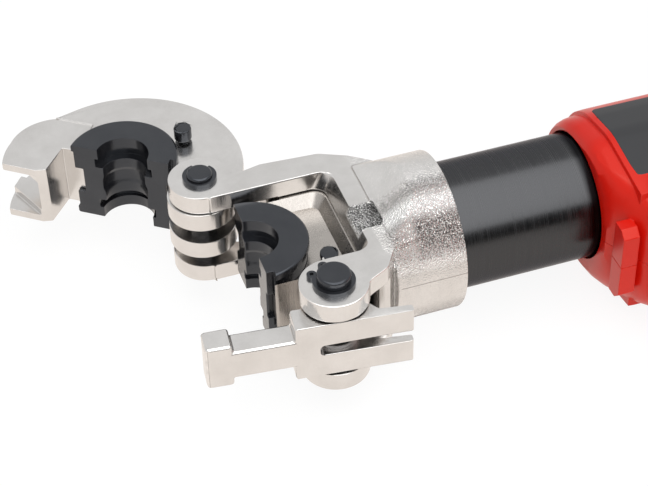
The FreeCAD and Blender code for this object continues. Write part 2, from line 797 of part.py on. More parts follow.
def latch_lever():
    """The latch: tail with its slot, hub, shank and T head, drawn along its own length."""
    back = LATCH_FRONT - LATCH_THICK
    head_end = LATCH_HEAD_X + LATCH_HEAD_LEN
    hub = rod_z(LATCH_HUB_R, -LATCH_BLOCK_HALF, LATCH_BLOCK_HALF)
    block = [
        (-LATCH_HUB_R, 2.0, 0),
        (LATCH_HUB_R, 2.0, 0),
        (LATCH_BLOCK_X, back, 0),
        (LATCH_BLOCK_X, LATCH_FRONT, 0),
        (LATCH_TAIL_X, LATCH_FRONT, 0.8),
        (LATCH_TAIL_X, LATCH_FRONT - LATCH_TAIL_T, 0.8),
        (-LATCH_HUB_R - 4, LATCH_FRONT - LATCH_TAIL_T - 1, 3),
    ]
    block = prism_z(block, -LATCH_BLOCK_HALF, LATCH_BLOCK_HALF)
    shank = box(0, head_end, back, LATCH_FRONT, -LATCH_SHANK_HALF, LATCH_SHANK_HALF)
    bevel = LATCH_HEAD_BEVEL
    head = prism_z(
        [
            (LATCH_HEAD_X, back, 0),
            (head_end - bevel, back, 0),
            (head_end, back + bevel, 0),
            (head_end, LATCH_FRONT - 1, 0),
            (head_end - 1, LATCH_FRONT, 0),
            (LATCH_HEAD_X, LATCH_FRONT, 0),
        ],
        -LATCH_HEAD_HALF,
        LATCH_HEAD_HALF,
    )
    shank = shank.cut(box(head_end - bevel, head_end + 1, 0, LATCH_FRONT + 1, -20, 20))
    body = joined([hub, block, shank, head])
    half = LATCH_SLOT_HALF
    slot = rectangle(LATCH_TAIL_X - half, LATCH_SLOT_X, -half, half, LATCH_SLOT_R)
    body = body.cut(prism_y(slot, -LATCH_HUB_R - 1, LATCH_FRONT + 1))
    spring_room = latch_spring_r() + LATCH_SPRING_WIRE_R + CLEAR
    body = body.cut(rod_z(spring_room, -LATCH_SLOT_HALF, LATCH_SLOT_HALF))
    body = body.cut(rod_z(LATCH_PIN_R + RUNNING, -20, 20))
    body = swung(body, 0, 0, LATCH_LEAN_DEG)
    body.translate(Vector(LATCH_PIN_X, LATCH_PIN_Y, 0))
    return body


def coil(radius, wire_r, pitch, turns):
    """A round wire wound about Z from z = 0."""
    helix = Part.makeHelix(pitch, pitch * turns, radius)
    section = Part.Wire(
        Part.makeCircle(wire_r, Vector(radius, 0, 0), Vector(0, 1, 0))
    )
    return Part.Wire(helix).makePipeShell([section], True, True)


def latch_spring_r():
    """The latch spring's middle radius."""
    return LATCH_PIN_R + LATCH_SPRING_WIRE_R + CLEAR


def latch_spring():
    """The torsion spring in the latch hub's slot."""
    wire = LATCH_SPRING_WIRE_R
    pitch = 2 * wire + RUNNING
    spring = coil(latch_spring_r(), wire, pitch, LATCH_SPRING_TURNS)
    spring.translate(Vector(LATCH_PIN_X, LATCH_PIN_Y, -pitch * LATCH_SPRING_TURNS / 2))
    return spring


def die_holder():
    """The block between the arms that carries the lower die."""
    back, front = HOLDER_BACK_X, HOLDER_FRONT_X
    narrow = HOLDER_NARROW_HALF_Y
    points = [
        (back, -HOLDER_HALF_Y, 3),
        (HOLDER_RAIL_END_X, -HOLDER_HALF_Y, 0),
        (HOLDER_RAIL_END_X, -narrow, 0),
        (front, -narrow, 1),
        (front, narrow, 1),
        (HOLDER_RAIL_END_X, narrow, 0),
        (HOLDER_RAIL_END_X, HOLDER_HALF_Y, 0),
        (back, HOLDER_HALF_Y, 3),
    ]
    block = prism_z(points, -HOLDER_HALF_Z, HOLDER_HALF_Z)
    inset = HOLDER_WALL_SLOPE
    for up in (1, -1):
        wide = outline(
            rectangle(HOLDER_POCKET_X, front + 9, -narrow, narrow, CUT_CORNER_R)
        )
        tight = outline(
            rectangle(
                HOLDER_POCKET_X + inset,
                front + 9 + inset,
                inset - narrow,
                narrow - inset,
                CUT_CORNER_R - 2,
            )
        )
        wide.translate(Vector(0, 0, up * (HOLDER_HALF_Z + 0.01)))
        tight.translate(Vector(0, 0, up * HOLDER_FLOOR_Z))
        block = block.cut(Part.makeLoft([wide, tight], True, True))
    block = block.cut(die_room(lower_die_x(), DIE_GROOVE_HALF - SLIDE_GAP))
    block = block.cut(rod_x(ROD_SPIGOT_R, back - 1, back + ROD_SPIGOT_LEN))
    stem_low = HOLDER_FLOOR_Z - BUTTON_STEM_LEN - BUTTON_PRESS - SLIDE_GAP
    stem = rod_z(
        BUTTON_STEM_R + RUNNING, stem_low, HOLDER_FLOOR_Z + 1, HOLDER_BUTTON_X, HOLDER_BUTTON_Y
    )
    return block.cut(stem)


def piston_rod():
    """Piston, rod and the spigot in the holder."""
    piston = rod_x(CYLINDER_BORE_R - RUNNING, PISTON_X, PISTON_X + PISTON_LEN)
    middle = PISTON_X + PISTON_LEN / 2
    ring = rod_x(CYLINDER_BORE_R + 1, middle - PISTON_GROOVE_W / 2, middle + PISTON_GROOVE_W / 2)
    piston = piston.cut(ring.cut(rod_x(CYLINDER_BORE_R - PISTON_GROOVE_D, PISTON_X, PISTON_X + 20)))
    rod = rod_x(ROD_R, PISTON_X + PISTON_LEN - 1, HOLDER_BACK_X)
    spigot = rod_x(ROD_SPIGOT_R, HOLDER_BACK_X - 1, HOLDER_BACK_X + ROD_SPIGOT_LEN)
    return joined([piston, rod, spigot])


def piston_seal():
    """The ring in the piston's groove."""
    middle = PISTON_X + PISTON_LEN / 2
    low, high = middle - PISTON_GROOVE_W / 2, middle + PISTON_GROOVE_W / 2
    ring = rod_x(CYLINDER_BORE_R - RUNNING / 2, low, high)
    return ring.cut(rod_x(CYLINDER_BORE_R - PISTON_GROOVE_D, low - 1, high + 1))


def return_spring():
    """The spring that pushes the ram back, around the rod."""
    start = PISTON_X + PISTON_LEN + SPRING_WIRE_R
    end = GLAND_BACK_X - SPRING_WIRE_R
    pitch = (end - start) / SPRING_TURNS
    spring = coil(SPRING_R, SPRING_WIRE_R, pitch, SPRING_TURNS)
    spring.rotate(Vector(0, 0, 0), Vector(0, 1, 0), 90)
    spring.translate(Vector(start, 0, 0))
    return spring


def cylinder_tube():
    """The black cylinder, its spigot in the collar and its swivel neck at the back."""
    body = rod_x(CYLINDER_R, CYLINDER_BACK_X, 0)
    spigot = rod_x(SPIGOT_R, -1, SPIGOT_LEN)
    neck = rod_x(SWIVEL_R, CYLINDER_BACK_X - SWIVEL_LEN, CYLINDER_BACK_X + 1)
    body = joined([body, spigot, neck])
    body = body.cut(rod_x(CYLINDER_BORE_R, CYLINDER_FLOOR_X, SPIGOT_LEN + 1))
    return body.cut(rod_x(FEED_R, CYLINDER_BACK_X - SWIVEL_LEN - 1, CYLINDER_FLOOR_X + 1))


def gland():
    """The bush that closes the cylinder's front end and guides the rod."""
    bush = rod_x(CYLINDER_BORE_R, GLAND_BACK_X, SPIGOT_LEN)
    return bush.cut(rod_x(ROD_R + RUNNING, GLAND_BACK_X - 1, SPIGOT_LEN + 1))


def section(x, low_y, high_y, half_z, radius):
    """One cross-section of the barrel at x: a round far side, sloping flanks, a near side."""
    far_z = half_z - FAR_FALL * (BODY_MID_Y - low_y)
    near_z = half_z - NEAR_FALL * (high_y - BODY_MID_Y)
    near_r = min(radius, near_z)
    half = [(BODY_MID_Y, half_z, BODY_MID_R), (low_y, far_z, far_z)]
    lower = [(low_y, -far_z, far_z), (BODY_MID_Y, -half_z, BODY_MID_R)]
    wire = outline(lower + [(high_y, -near_z, near_r), (high_y, near_z, near_r)] + half)
    wire.rotate(Vector(0, 0, 0), Vector(1, 1, 1), 120)
    wire.translate(Vector(x, 0, 0))
    return wire


def barrel_loft(rows, wall):
    """A loft through (x, low y, high y, half z, near corner radius) rows, drawn in by a wall."""
    wires = [
        section(x, low + wall, high - wall, half - wall, radius - wall)
        for x, low, high, half, radius in rows
    ]
    return Part.makeLoft(wires, True, True)


def barrel(wall):
    """The barrel as a solid, drawn in by a wall: a hull with a rolled front, a raised band."""
    front, rear = BODY_FRONT_X - wall, BODY_REAR_X + wall
    low, high, half, round_r = BODY_LOW_Y, BODY_HIGH_Y, BODY_HALF_Z, BODY_CORNER_R
    under = half - BAND_STEP
    hull = [
        (front, low + 2.0, high - 25.4, half - 6.6, round_r + 6.0),
        (front - 1.6, low + 1.4, high - 22.4, half - 4.2, round_r + 6.5),
        (front - 3.8, low + 1.1, high - 18.0, under - 1.0, round_r + 6.0),
        (front - 6.8, low + 1.0, high - 13.0, under - 0.4, round_r + 5.0),
        (front - 10.2, low + 0.9, high - 7.0, under - 0.1, round_r + 3.0),
        (front - 13.6, low + 0.9, high - 3.2, under, round_r + 2.0),
        (front - 22.0, low + 0.9, high, under, round_r),
        (rear + TAIL_LEN, low + 0.9, high - 1.0, under, round_r),
        (rear + 10.0, low + 1.9, high - 3.0, under - 1.0, round_r),
        (rear + 4.0, low + 4.9, high - 7.0, under - 4.0, round_r),
        (rear + 1.0, low + 8.9, high - 12.0, under - 8.0, round_r),
    ]
    step = BAND_FRONT_X - wall
    band = [
        (step, low + 0.1, high, half - 0.3, round_r),
        (step - 3.0, low, high, half, round_r),
        (rear + TAIL_LEN, low, high, half, round_r),
        (rear + 10.0, low + 1.0, high - 2.0, half - 1.0, round_r),
        (rear + 3.0, low + 4.0, high - 6.0, half - 4.0, round_r),
        (rear, low + 8.0, high - 11.0, half - 8.0, round_r),
    ]
    far = BODY_HIGH_Y + BODY_HALF_Z
    saddle = box(rear - 1, BODY_FRONT_X, -far, BAND_END_Y - wall, -far, far)
    return joined([barrel_loft(hull, wall), barrel_loft(band, wall).common(saddle)])


def handle(wall):
    """The pistol handle as a solid, drawn in by a wall thickness."""
    rows = []
    for share, widen in ((0.0, 3.0), (0.35, 0.0), (0.75, 0.4), (1.0, 2.0)):
        y = HANDLE_TOP_Y + share * (HANDLE_LOW_Y - HANDLE_TOP_Y)
        front = HANDLE_FRONT_X - HANDLE_RAKE * share + widen - wall
        back = HANDLE_FRONT_X - HANDLE_DEPTH - HANDLE_RAKE * share - widen + wall
        half = HANDLE_HALF_Z + widen / 2 - wall
        wire = outline(rectangle(back, front, -half, half, HANDLE_R - wall))
        wire.rotate(Vector(0, 0, 0), Vector(1, 0, 0), -90)
        wire.translate(Vector(0, y, 0))
        rows.append(wire)
    return Part.makeLoft(rows, True, True)


def shoe(wall):
    """The foot of the handle that the battery slides on."""
    points = rectangle(
        SHOE_BACK_X + wall, SHOE_FRONT_X - wall, wall - SHOE_HALF_Z, SHOE_HALF_Z - wall, SHOE_R
    )
    return prism_y(points, SHOE_LOW_Y + wall, SHOE_HIGH_Y - wall)


def rails():
    """The rails under the shoe."""
    top = SHOE_HIGH_Y + RAIL_NECK_T
    neck = box(
        RAIL_BACK_X, RAIL_FRONT_X, SHOE_HIGH_Y - 1, top, -RAIL_NECK_HALF_Z, RAIL_NECK_HALF_Z
    )
    flange = box(RAIL_BACK_X, RAIL_FRONT_X, top, top + RAIL_T, -RAIL_HALF_Z, RAIL_HALF_Z)
    return joined([neck, flange])


def guard():
    """The loop in front of the trigger."""
    root_y = BODY_HIGH_Y - 6
    foot_x = HANDLE_FRONT_X - 8
    foot_y = GUARD_HIGH_Y + 8
    points = [
        (GUARD_FRONT_X, root_y, 0),
        (GUARD_FRONT_X, GUARD_HIGH_Y, 9),
        (foot_x, foot_y, 0),
        (foot_x, foot_y - GUARD_T, 0),
        (GUARD_FRONT_X - GUARD_T, GUARD_HIGH_Y - GUARD_T, 5),
        (GUARD_FRONT_X - GUARD_T, root_y, 0),
    ]
    return prism_z(points, -GUARD_HALF_Z, GUARD_HALF_Z)


def front_rib():
    """The raised rib across the split under the barrel's front."""
    points = [
        (RIB_Y - RIB_ROOT, -RIB_HALF_Z, 0),
        (RIB_Y - RIB_BEVEL, -RIB_HALF_Z, 0),
        (RIB_Y, RIB_BEVEL - RIB_HALF_Z, 0),
        (RIB_Y, RIB_HALF_Z - RIB_BEVEL, 0),
        (RIB_Y - RIB_BEVEL, RIB_HALF_Z, 0),
        (RIB_Y - RIB_ROOT, RIB_HALF_Z, 0),
    ]
    return prism_x(points, RIB_BACK_X, RIB_FRONT_X)


def panel_blank(inset):
    """A block over one flank, with a side panel's outline drawn in a little."""
    points = rectangle(
        PANEL_BACK_X + inset,
        PANEL_FRONT_X - inset,
        PANEL_LOW_Y + inset,
        PANEL_HIGH_Y - inset,
        PANEL_R,
    )
    return prism_z(points, BODY_HALF_Z / 2, BODY_HALF_Z + 1)


def side_panel():
    """A dark panel let into the upper flank."""
    return panel_blank(PANEL_GAP).common(barrel(0)).cut(barrel(PANEL_T))


def grip_block():
    """The block that bounds the soft pad on the back of the handle."""
    return box(GRIP_FRONT_X, GRIP_FRONT_X - 60, GRIP_LOW_Y, GRIP_HIGH_Y, -30, 30)


def grip_pad():
    """The soft pad on the back of the handle."""
    return grip_block().common(handle(0)).cut(handle(GRIP_T))


def switch_front_x():
    """The front of the switch, just behind the trigger's full pull."""
    return TRIGGER_BACK_X - TRIGGER_PULL - SWITCH_GAP


def trigger_port():
    """The slot in the handle that the trigger slides in."""
    gap = TRIGGER_PORT_GAP
    half = TRIGGER_HALF_Z + gap
    low, high = TRIGGER_LOW_Y - gap, TRIGGER_HIGH_Y + gap
    return box(switch_front_x(), HANDLE_FRONT_X + 8, low, high, -half, half)


def screw_places():
    """Where the housing screws stand: x, y and the height of the head's seat."""
    rows = []
    for spots, z in (
        (BARREL_SCREWS, BARREL_SCREW_Z),
        (HANDLE_SCREWS, HANDLE_SCREW_Z),
        (SHOE_SCREWS, SHOE_SCREW_Z),
    ):
        rows += [(x, y, z) for x, y in spots]
    return rows


def housing_screw(x, y, z):
    """A pan head screw with a cross-shaped recess."""
    head = rod_z(SCREW_HEAD_R, z, z + SCREW_HEAD_T, x, y)
    stem = rod_z(SCREW_STEM_R, z - SCREW_STEM_LEN, z, x, y)
    arm, blade = SCREW_HEAD_R * 0.6, SCREW_HEAD_R * 0.16
    top = z + SCREW_HEAD_T
    low = top - SCREW_HEAD_T / 2
    cross = box(x - arm, x + arm, y - blade, y + blade, low, top + 1)
    cross = cross.fuse(box(x - blade, x + blade, y - arm, y + arm, low, top + 1))
    return joined([head, stem]).cut(cross)


def vent_slots():
    """The air slots of one flank near the motor."""
    slots = []
    for i in range(VENT_COUNT):
        x = VENT_FIRST_X + i * VENT_PITCH
        low, high = VENT_Y - VENT_LEN / 2, VENT_Y + VENT_LEN / 2
        points = rectangle(x, x + VENT_W, low, high, VENT_W * 0.45)
        slots.append(prism_z(points, BODY_HALF_Z / 2, BODY_HALF_Z + 1))
    return Part.makeCompound(slots)


def housing():
    """The shell of the housing before it is split along its middle."""
    outer = joined([barrel(0), handle(0), shoe(0), guard(), front_rib()])
    inner = joined([barrel(WALL), handle(WALL), shoe(WALL)])
    shell = outer.cut(inner)
    bosses = [
        rod_z(SCREW_BOSS_R, -BODY_HALF_Z, BODY_HALF_Z, x, y) for x, y, z in screw_places()
    ]
    shell = joined([shell, rails(), outer.common(Part.makeCompound(bosses))])
    shell = shell.cut(rod_x(FRONT_HOLE_R, BODY_FRONT_X - 8, BODY_FRONT_X + 2))
    shell = shell.cut(dust_ring_sleeve())
    shell = shell.cut(trigger_port())
    shell = shell.cut(rod_z(RELEASE_R + CLEAR, RELEASE_LOW_Z, 60, RELEASE_X, RELEASE_Y))
    shell = shell.cut(rod_y(LIGHT_R, BODY_HIGH_Y - 10, BODY_HIGH_Y + 10, LIGHT_X))
    for side in (lambda part: part, mirror_z):
        shell = shell.cut(side(panel_blank(0).cut(barrel(PANEL_T))))
        shell = shell.cut(side(vent_slots()))
    shell = shell.cut(grip_block().cut(handle(GRIP_T)).common(handle(1 - GRIP_T)))
    for x, y, z in screw_places():
        shell = shell.cut(rod_z(SCREW_HEAD_R + PANEL_GAP, z, 60, x, y))
        shell = shell.cut(rod_z(SCREW_STEM_R, z - SCREW_STEM_LEN, z + 1, x, y))
    return shell


def dust_ring_sleeve():
    """The round middle of the dust ring, let into the housing where the flanks are close."""
    radius = CYLINDER_R + RUNNING + DUST_RING_WALL
    return rod_x(radius, DUST_RING_BACK_X, DUST_RING_FRONT_X)


def dust_ring():
    """The dark ring between the cylinder and the mouth of the housing."""
    slab = box(DUST_RING_BACK_X, DUST_RING_FRONT_X, -60, 60, -60, 60)
    ring = joined([slab.common(barrel(WALL)), dust_ring_sleeve()])
    return ring.cut(rod_x(CYLINDER_R + RUNNING, DUST_RING_BACK_X - 1, DUST_RING_FRONT_X + 1))


def pump_block():
    """The pump block: a flange fitted to the housing, the cam room and the bores."""
    flange = box(PUMP_FRONT_X - PUMP_FLANGE_T, PUMP_FRONT_X, -60, 60, -60, 60)
    block = joined([flange.common(barrel(WALL)), rod_x(PUMP_R, PUMP_BACK_X, PUMP_FRONT_X)])
    swivel_end = CYLINDER_BACK_X - SWIVEL_LEN - SLIDE_GAP
    block = block.cut(rod_x(SWIVEL_R + RUNNING, swivel_end, PUMP_FRONT_X + 1))
    block = block.cut(rod_x(FEED_R, swivel_end - 10, swivel_end + 1))
    block = block.cut(rod_x(CAM_ROOM_R, PUMP_BACK_X - 1, PUMP_BACK_X + CAM_ROOM_LEN))
    return block.cut(rod_y(PLUNGER_R, 0, PUMP_R + 1, ECCENTRIC_X + ECCENTRIC_LEN / 2))


def pump_plunger():
    """The plunger that rides on the eccentric, at the end of its stroke."""
    low = ECCENTRIC_OFFSET + ECCENTRIC_R + RUNNING
    return rod_y(PLUNGER_R, low, low + PLUNGER_LEN, ECCENTRIC_X + ECCENTRIC_LEN / 2)


def oil_bladder():
    """The soft oil store under the pump block."""
    half = BODY_HALF_Z - BLADDER_SIDE
    under = BODY_HIGH_Y - BLADDER_UNDER
    bag = box(BLADDER_BACK_X, BLADDER_FRONT_X, 0, under, -half, half)
    return bag.cut(rod_x(PUMP_R, PUMP_BACK_X - 1, PUMP_FRONT_X + 1))


def gearbox_case():
    """The gearbox: a toothless ring between two plates, one of them a mounting flange."""
    front, back = PUMP_BACK_X, PUMP_BACK_X - GEARBOX_LEN
    case = rod_x(GEARBOX_R, back, front)
    case = case.cut(rod_x(RING_R, back + GEARBOX_PLATE_T, front - GEARBOX_PLATE_T))
    flange = box(back, back + GEARBOX_PLATE_T / 2, -60, 60, -60, 60).common(barrel(WALL))
    case = joined([case, flange.cut(rod_x(GEARBOX_R - 1, back - 1, front))])
    case = case.cut(rod_x(SHAFT_R + RUNNING, front - GEARBOX_PLATE_T - 1, front + 1))
    return case.cut(rod_x(SUN_R + CLEAR, back - 1, back + GEARBOX_PLATE_T + 1))


def carrier_shaft():
    """The planet carrier, the output shaft and the eccentric on it."""
    front = PUMP_BACK_X - GEARBOX_PLATE_T - SLIDE_GAP
    carrier = rod_x(CARRIER_R, front - CARRIER_T, front)
    shaft = rod_x(SHAFT_R, front - 1, SHAFT_FRONT_X)
    cam = rod_x(ECCENTRIC_R, ECCENTRIC_X, ECCENTRIC_X + ECCENTRIC_LEN, ECCENTRIC_OFFSET)
    pins = [
        rod_x(2.0, front - CARRIER_T - PLANET_T, front, y, z) for y, z in planet_places()
    ]
    return joined([carrier, shaft, cam] + pins)


def planet_places():
    """The planets' centres as (y, z)."""
    orbit = SUN_R + PLANET_R + PLANET_SPACE
    turns = [2 * math.pi * i / PLANET_COUNT for i in range(PLANET_COUNT)]
    return [(orbit * math.cos(turn), orbit * math.sin(turn)) for turn in turns]


def planet_gears():
    """The planets as plain discs."""
    front = PUMP_BACK_X - GEARBOX_PLATE_T - SLIDE_GAP - CARRIER_T
    discs = []
    for y, z in planet_places():
        disc = rod_x(PLANET_R, front - PLANET_T, front, y, z)
        discs.append(disc.cut(rod_x(2.0, front - PLANET_T - 1, front + 1, y, z)))
    return Part.makeCompound(discs)


def motor_back_x():
    """The back face of the motor."""
    return PUMP_BACK_X - GEARBOX_LEN - MOTOR_LEN


def motor_can():
    """The motor's can with its two end plates."""
    front, back = PUMP_BACK_X - GEARBOX_LEN, motor_back_x()
    can = rod_x(MOTOR_R, back, front)
    can = can.cut(rod_x(MOTOR_R - MOTOR_CAN_T, back + MOTOR_CAN_T, front - MOTOR_CAN_T))
    can = can.cut(rod_x(SUN_R + CLEAR, front - MOTOR_CAN_T - 1, front + 1))
    return can.cut(rod_x(MOTOR_SHAFT_R + RUNNING, back - 1, back + MOTOR_CAN_T + 1))


def motor_stator():
    """The magnets and poles inside the can."""
    middle = (motor_back_x() + PUMP_BACK_X - GEARBOX_LEN) / 2
    low, high = middle - ROTOR_LEN / 2, middle + ROTOR_LEN / 2
    ring = rod_x(MOTOR_R - MOTOR_CAN_T, low, high)
    return ring.cut(rod_x(STATOR_INNER_R, low - 1, high + 1))


def motor_rotor():
    """The rotor on its shaft, with the sun gear at the front end."""
    front, back = PUMP_BACK_X - GEARBOX_LEN, motor_back_x()
    middle = (front + back) / 2
    core = rod_x(ROTOR_R, middle - ROTOR_LEN / 2 + 1, middle + ROTOR_LEN / 2 - 1)
    shaft = rod_x(MOTOR_SHAFT_R, back - FAN_GAP - FAN_T, front)
    sun_end = front + GEARBOX_LEN - GEARBOX_PLATE_T - 2 * SLIDE_GAP - CARRIER_T
    sun = rod_x(SUN_R, front - MOTOR_CAN_T - 1, sun_end)
    return joined([core, shaft, sun])


def motor_fan():
    """The cooling fan on the back end of the shaft."""
    front = motor_back_x() - FAN_GAP
    hub = rod_x(FAN_HUB_R, front - FAN_T, front)
    disc = rod_x(FAN_R, front - 1.2, front)
    blade = box(front - FAN_T, front, 0, FAN_R - 1, -FAN_BLADE_T / 2, FAN_BLADE_T / 2)
    blades = []
    for i in range(FAN_BLADES):
        copy = blade.copy()
        copy.rotate(Vector(0, 0, 0), Vector(1, 0, 0), 360.0 * i / FAN_BLADES)
        blades.append(copy)
    fan = joined([hub, disc] + blades)
    return fan.cut(rod_x(MOTOR_SHAFT_R, front - FAN_T - 1, front + 1))


def trigger():
    """The trigger with its hollowed front face."""
    middle = (TRIGGER_LOW_Y + TRIGGER_HIGH_Y) / 2
    points = [
        (TRIGGER_BACK_X, TRIGGER_LOW_Y, 0),
        (TRIGGER_FRONT_X, TRIGGER_LOW_Y, 2),
        (TRIGGER_FRONT_X - 5, middle, 14),
        (TRIGGER_FRONT_X - 1, TRIGGER_HIGH_Y, 2),
        (TRIGGER_BACK_X, TRIGGER_HIGH_Y, 0),
    ]
    return prism_z(points, -TRIGGER_HALF_Z, TRIGGER_HALF_Z)


def trigger_switch():
    """The switch behind the trigger, held between the housing halves."""
    front = switch_front_x() - CLEAR
    body = box(
        front - SWITCH_LEN, front, TRIGGER_LOW_Y, TRIGGER_HIGH_Y, -HANDLE_HALF_Z, HANDLE_HALF_Z
    )
    return body.common(handle(WALL))


def control_board():
    """The circuit board in the handle, held between the housing halves."""
    board_x = HANDLE_FRONT_X - 20
    return box(board_x, board_x + 1.6, GRIP_LOW_Y + 30, GRIP_HIGH_Y, -30, 30).common(handle(WALL))


def release_button():
    """The round pressure release button, with a foot inside the housing."""
    cap = rod_z(RELEASE_R, RELEASE_LOW_Z, RELEASE_HIGH_Z, RELEASE_X, RELEASE_Y)
    return cap.makeFillet(1.0, [cap.Edges[0]])


def release_seat():
    """The tube that guides the release button, standing on the pump block."""
    low = RELEASE_LOW_Z - RELEASE_PRESS - SLIDE_GAP
    seat = rod_z(RELEASE_R - 1, 0, low, RELEASE_X, RELEASE_Y)
    return joined([seat, box(RELEASE_X - 3, RELEASE_X + 3, 0, RELEASE_Y, -3, 3)]).cut(
        rod_x(PUMP_R, PUMP_BACK_X, PUMP_FRONT_X)
    )


def light_lens():
    """The lamp lens under the barrel."""
    bottom = BODY_HIGH_Y - 0.4
    lens = rod_y(LIGHT_R, bottom - LIGHT_T, bottom, LIGHT_X)
    return joined([lens, rod_y(LIGHT_R + 1.5, bottom - LIGHT_T - 1, bottom - WALL, LIGHT_X)])


def battery_hull(wall):
    """The battery's outer form as a solid, drawn in by a wall thickness."""
    rows = (
        (BATTERY_LOW_Y + wall, 0.0),
        (BATTERY_HIGH_Y - 8.0, 0.0),
        (BATTERY_HIGH_Y - 2.5 - wall, 1.4),
        (BATTERY_HIGH_Y - wall, 5.0),
    )
    wires = []
    for y, inset in rows:
        shrink = wall + inset
        half = BATTERY_HALF_Z - shrink
        points = rectangle(
            BATTERY_BACK_X + shrink, BATTERY_FRONT_X - shrink, -half, half, BATTERY_R - wall
        )
        wire = outline(points)
        wire.rotate(Vector(0, 0, 0), Vector(1, 0, 0), -90)
        wire.translate(Vector(0, y, 0))
        wires.append(wire)
    return Part.makeLoft(wires, True, True)


def rail_room(grow):
    """The room that the rails and blades need in the battery, open to the back."""
    gap = BATTERY_RAIL_GAP + grow
    top = SHOE_HIGH_Y + RAIL_NECK_T
    back = BATTERY_BACK_X - 1
    front = RAIL_FRONT_X + gap
    neck = box(back, front, BATTERY_LOW_Y - 1, top + 1, -RAIL_NECK_HALF_Z - gap, RAIL_NECK_HALF_Z + gap)
    flange = box(back, front, top - gap, top + RAIL_T + gap, -RAIL_HALF_Z - gap, RAIL_HALF_Z + gap)
    low = top + RAIL_T
    blades = box(
        back, front, low, low + BLADE_H + gap, -BLADE_ROOM_HALF_Z - grow, BLADE_ROOM_HALF_Z + grow
    )
    return joined([neck, flange, blades])


def key_room(side):
    """The opening in the battery's flank for one release key."""
    gap = KEY_GAP
    depth = KEY_T + KEY_PRESS + KEY_GAP
    z0, z1 = side * (BATTERY_HALF_Z - depth), side * (BATTERY_HALF_Z + 1)
    x0, x1 = KEY_X - KEY_LEN / 2, KEY_X + KEY_LEN / 2
    return box(x0 - gap, x1 + gap, KEY_LOW_Y - gap, KEY_LOW_Y + KEY_H + gap, z0, z1)


def battery_case():
    """The battery's shell with the channels for the rails."""
    hollow = battery_hull(BATTERY_WALL).cut(rail_room(BATTERY_WALL))
    shell = battery_hull(0).cut(hollow).cut(rail_room(0))
    return shell.cut(key_room(1)).cut(key_room(-1))


def battery_key(side):
    """One of the two keys that free the battery."""
    z1 = side * BATTERY_HALF_Z
    z0 = side * (BATTERY_HALF_Z - KEY_T)
    return box(
        KEY_X - KEY_LEN / 2, KEY_X + KEY_LEN / 2, KEY_LOW_Y, KEY_LOW_Y + KEY_H, z0, z1
    )


def cell_places():
    """The centres of the cells as (x, y)."""
    first = CELL_MIDDLE_X - CELL_PITCH * (CELL_COUNT - 1) / 2
    return [(first + CELL_PITCH * i, y) for y in CELL_ROWS_Y for i in range(CELL_COUNT)]


def battery_cells():
    """The round cells, lying across the battery."""
    half = CELL_LEN / 2
    return Part.makeCompound([rod_z(CELL_R, -half, half, x, y) for x, y in cell_places()])


def cell_frame():
    """Two plates that hold the cells inside the case."""
    low, high = FRAME_LOW_Z, FRAME_LOW_Z + FRAME_T
    slab = box(-300, 0, 0, 300, low, high)
    plate = slab.common(battery_hull(BATTERY_WALL)).cut(rail_room(BATTERY_WALL))
    plate = plate.cut(battery_cells())
    return Part.makeCompound([plate, mirror_z(plate)])


def terminal_blades():
    """The blades under the rails that enter the battery."""
    low = SHOE_HIGH_Y + RAIL_NECK_T + RAIL_T
    x1 = RAIL_FRONT_X - 2
    blades = []
    for i in range(BLADE_COUNT):
        z = BLADE_PITCH * (i - (BLADE_COUNT - 1) / 2)
        blades.append(box(x1 - BLADE_LEN, x1, low, low + BLADE_H, z - BLADE_T / 2, z + BLADE_T / 2))
    return Part.makeCompound(blades)


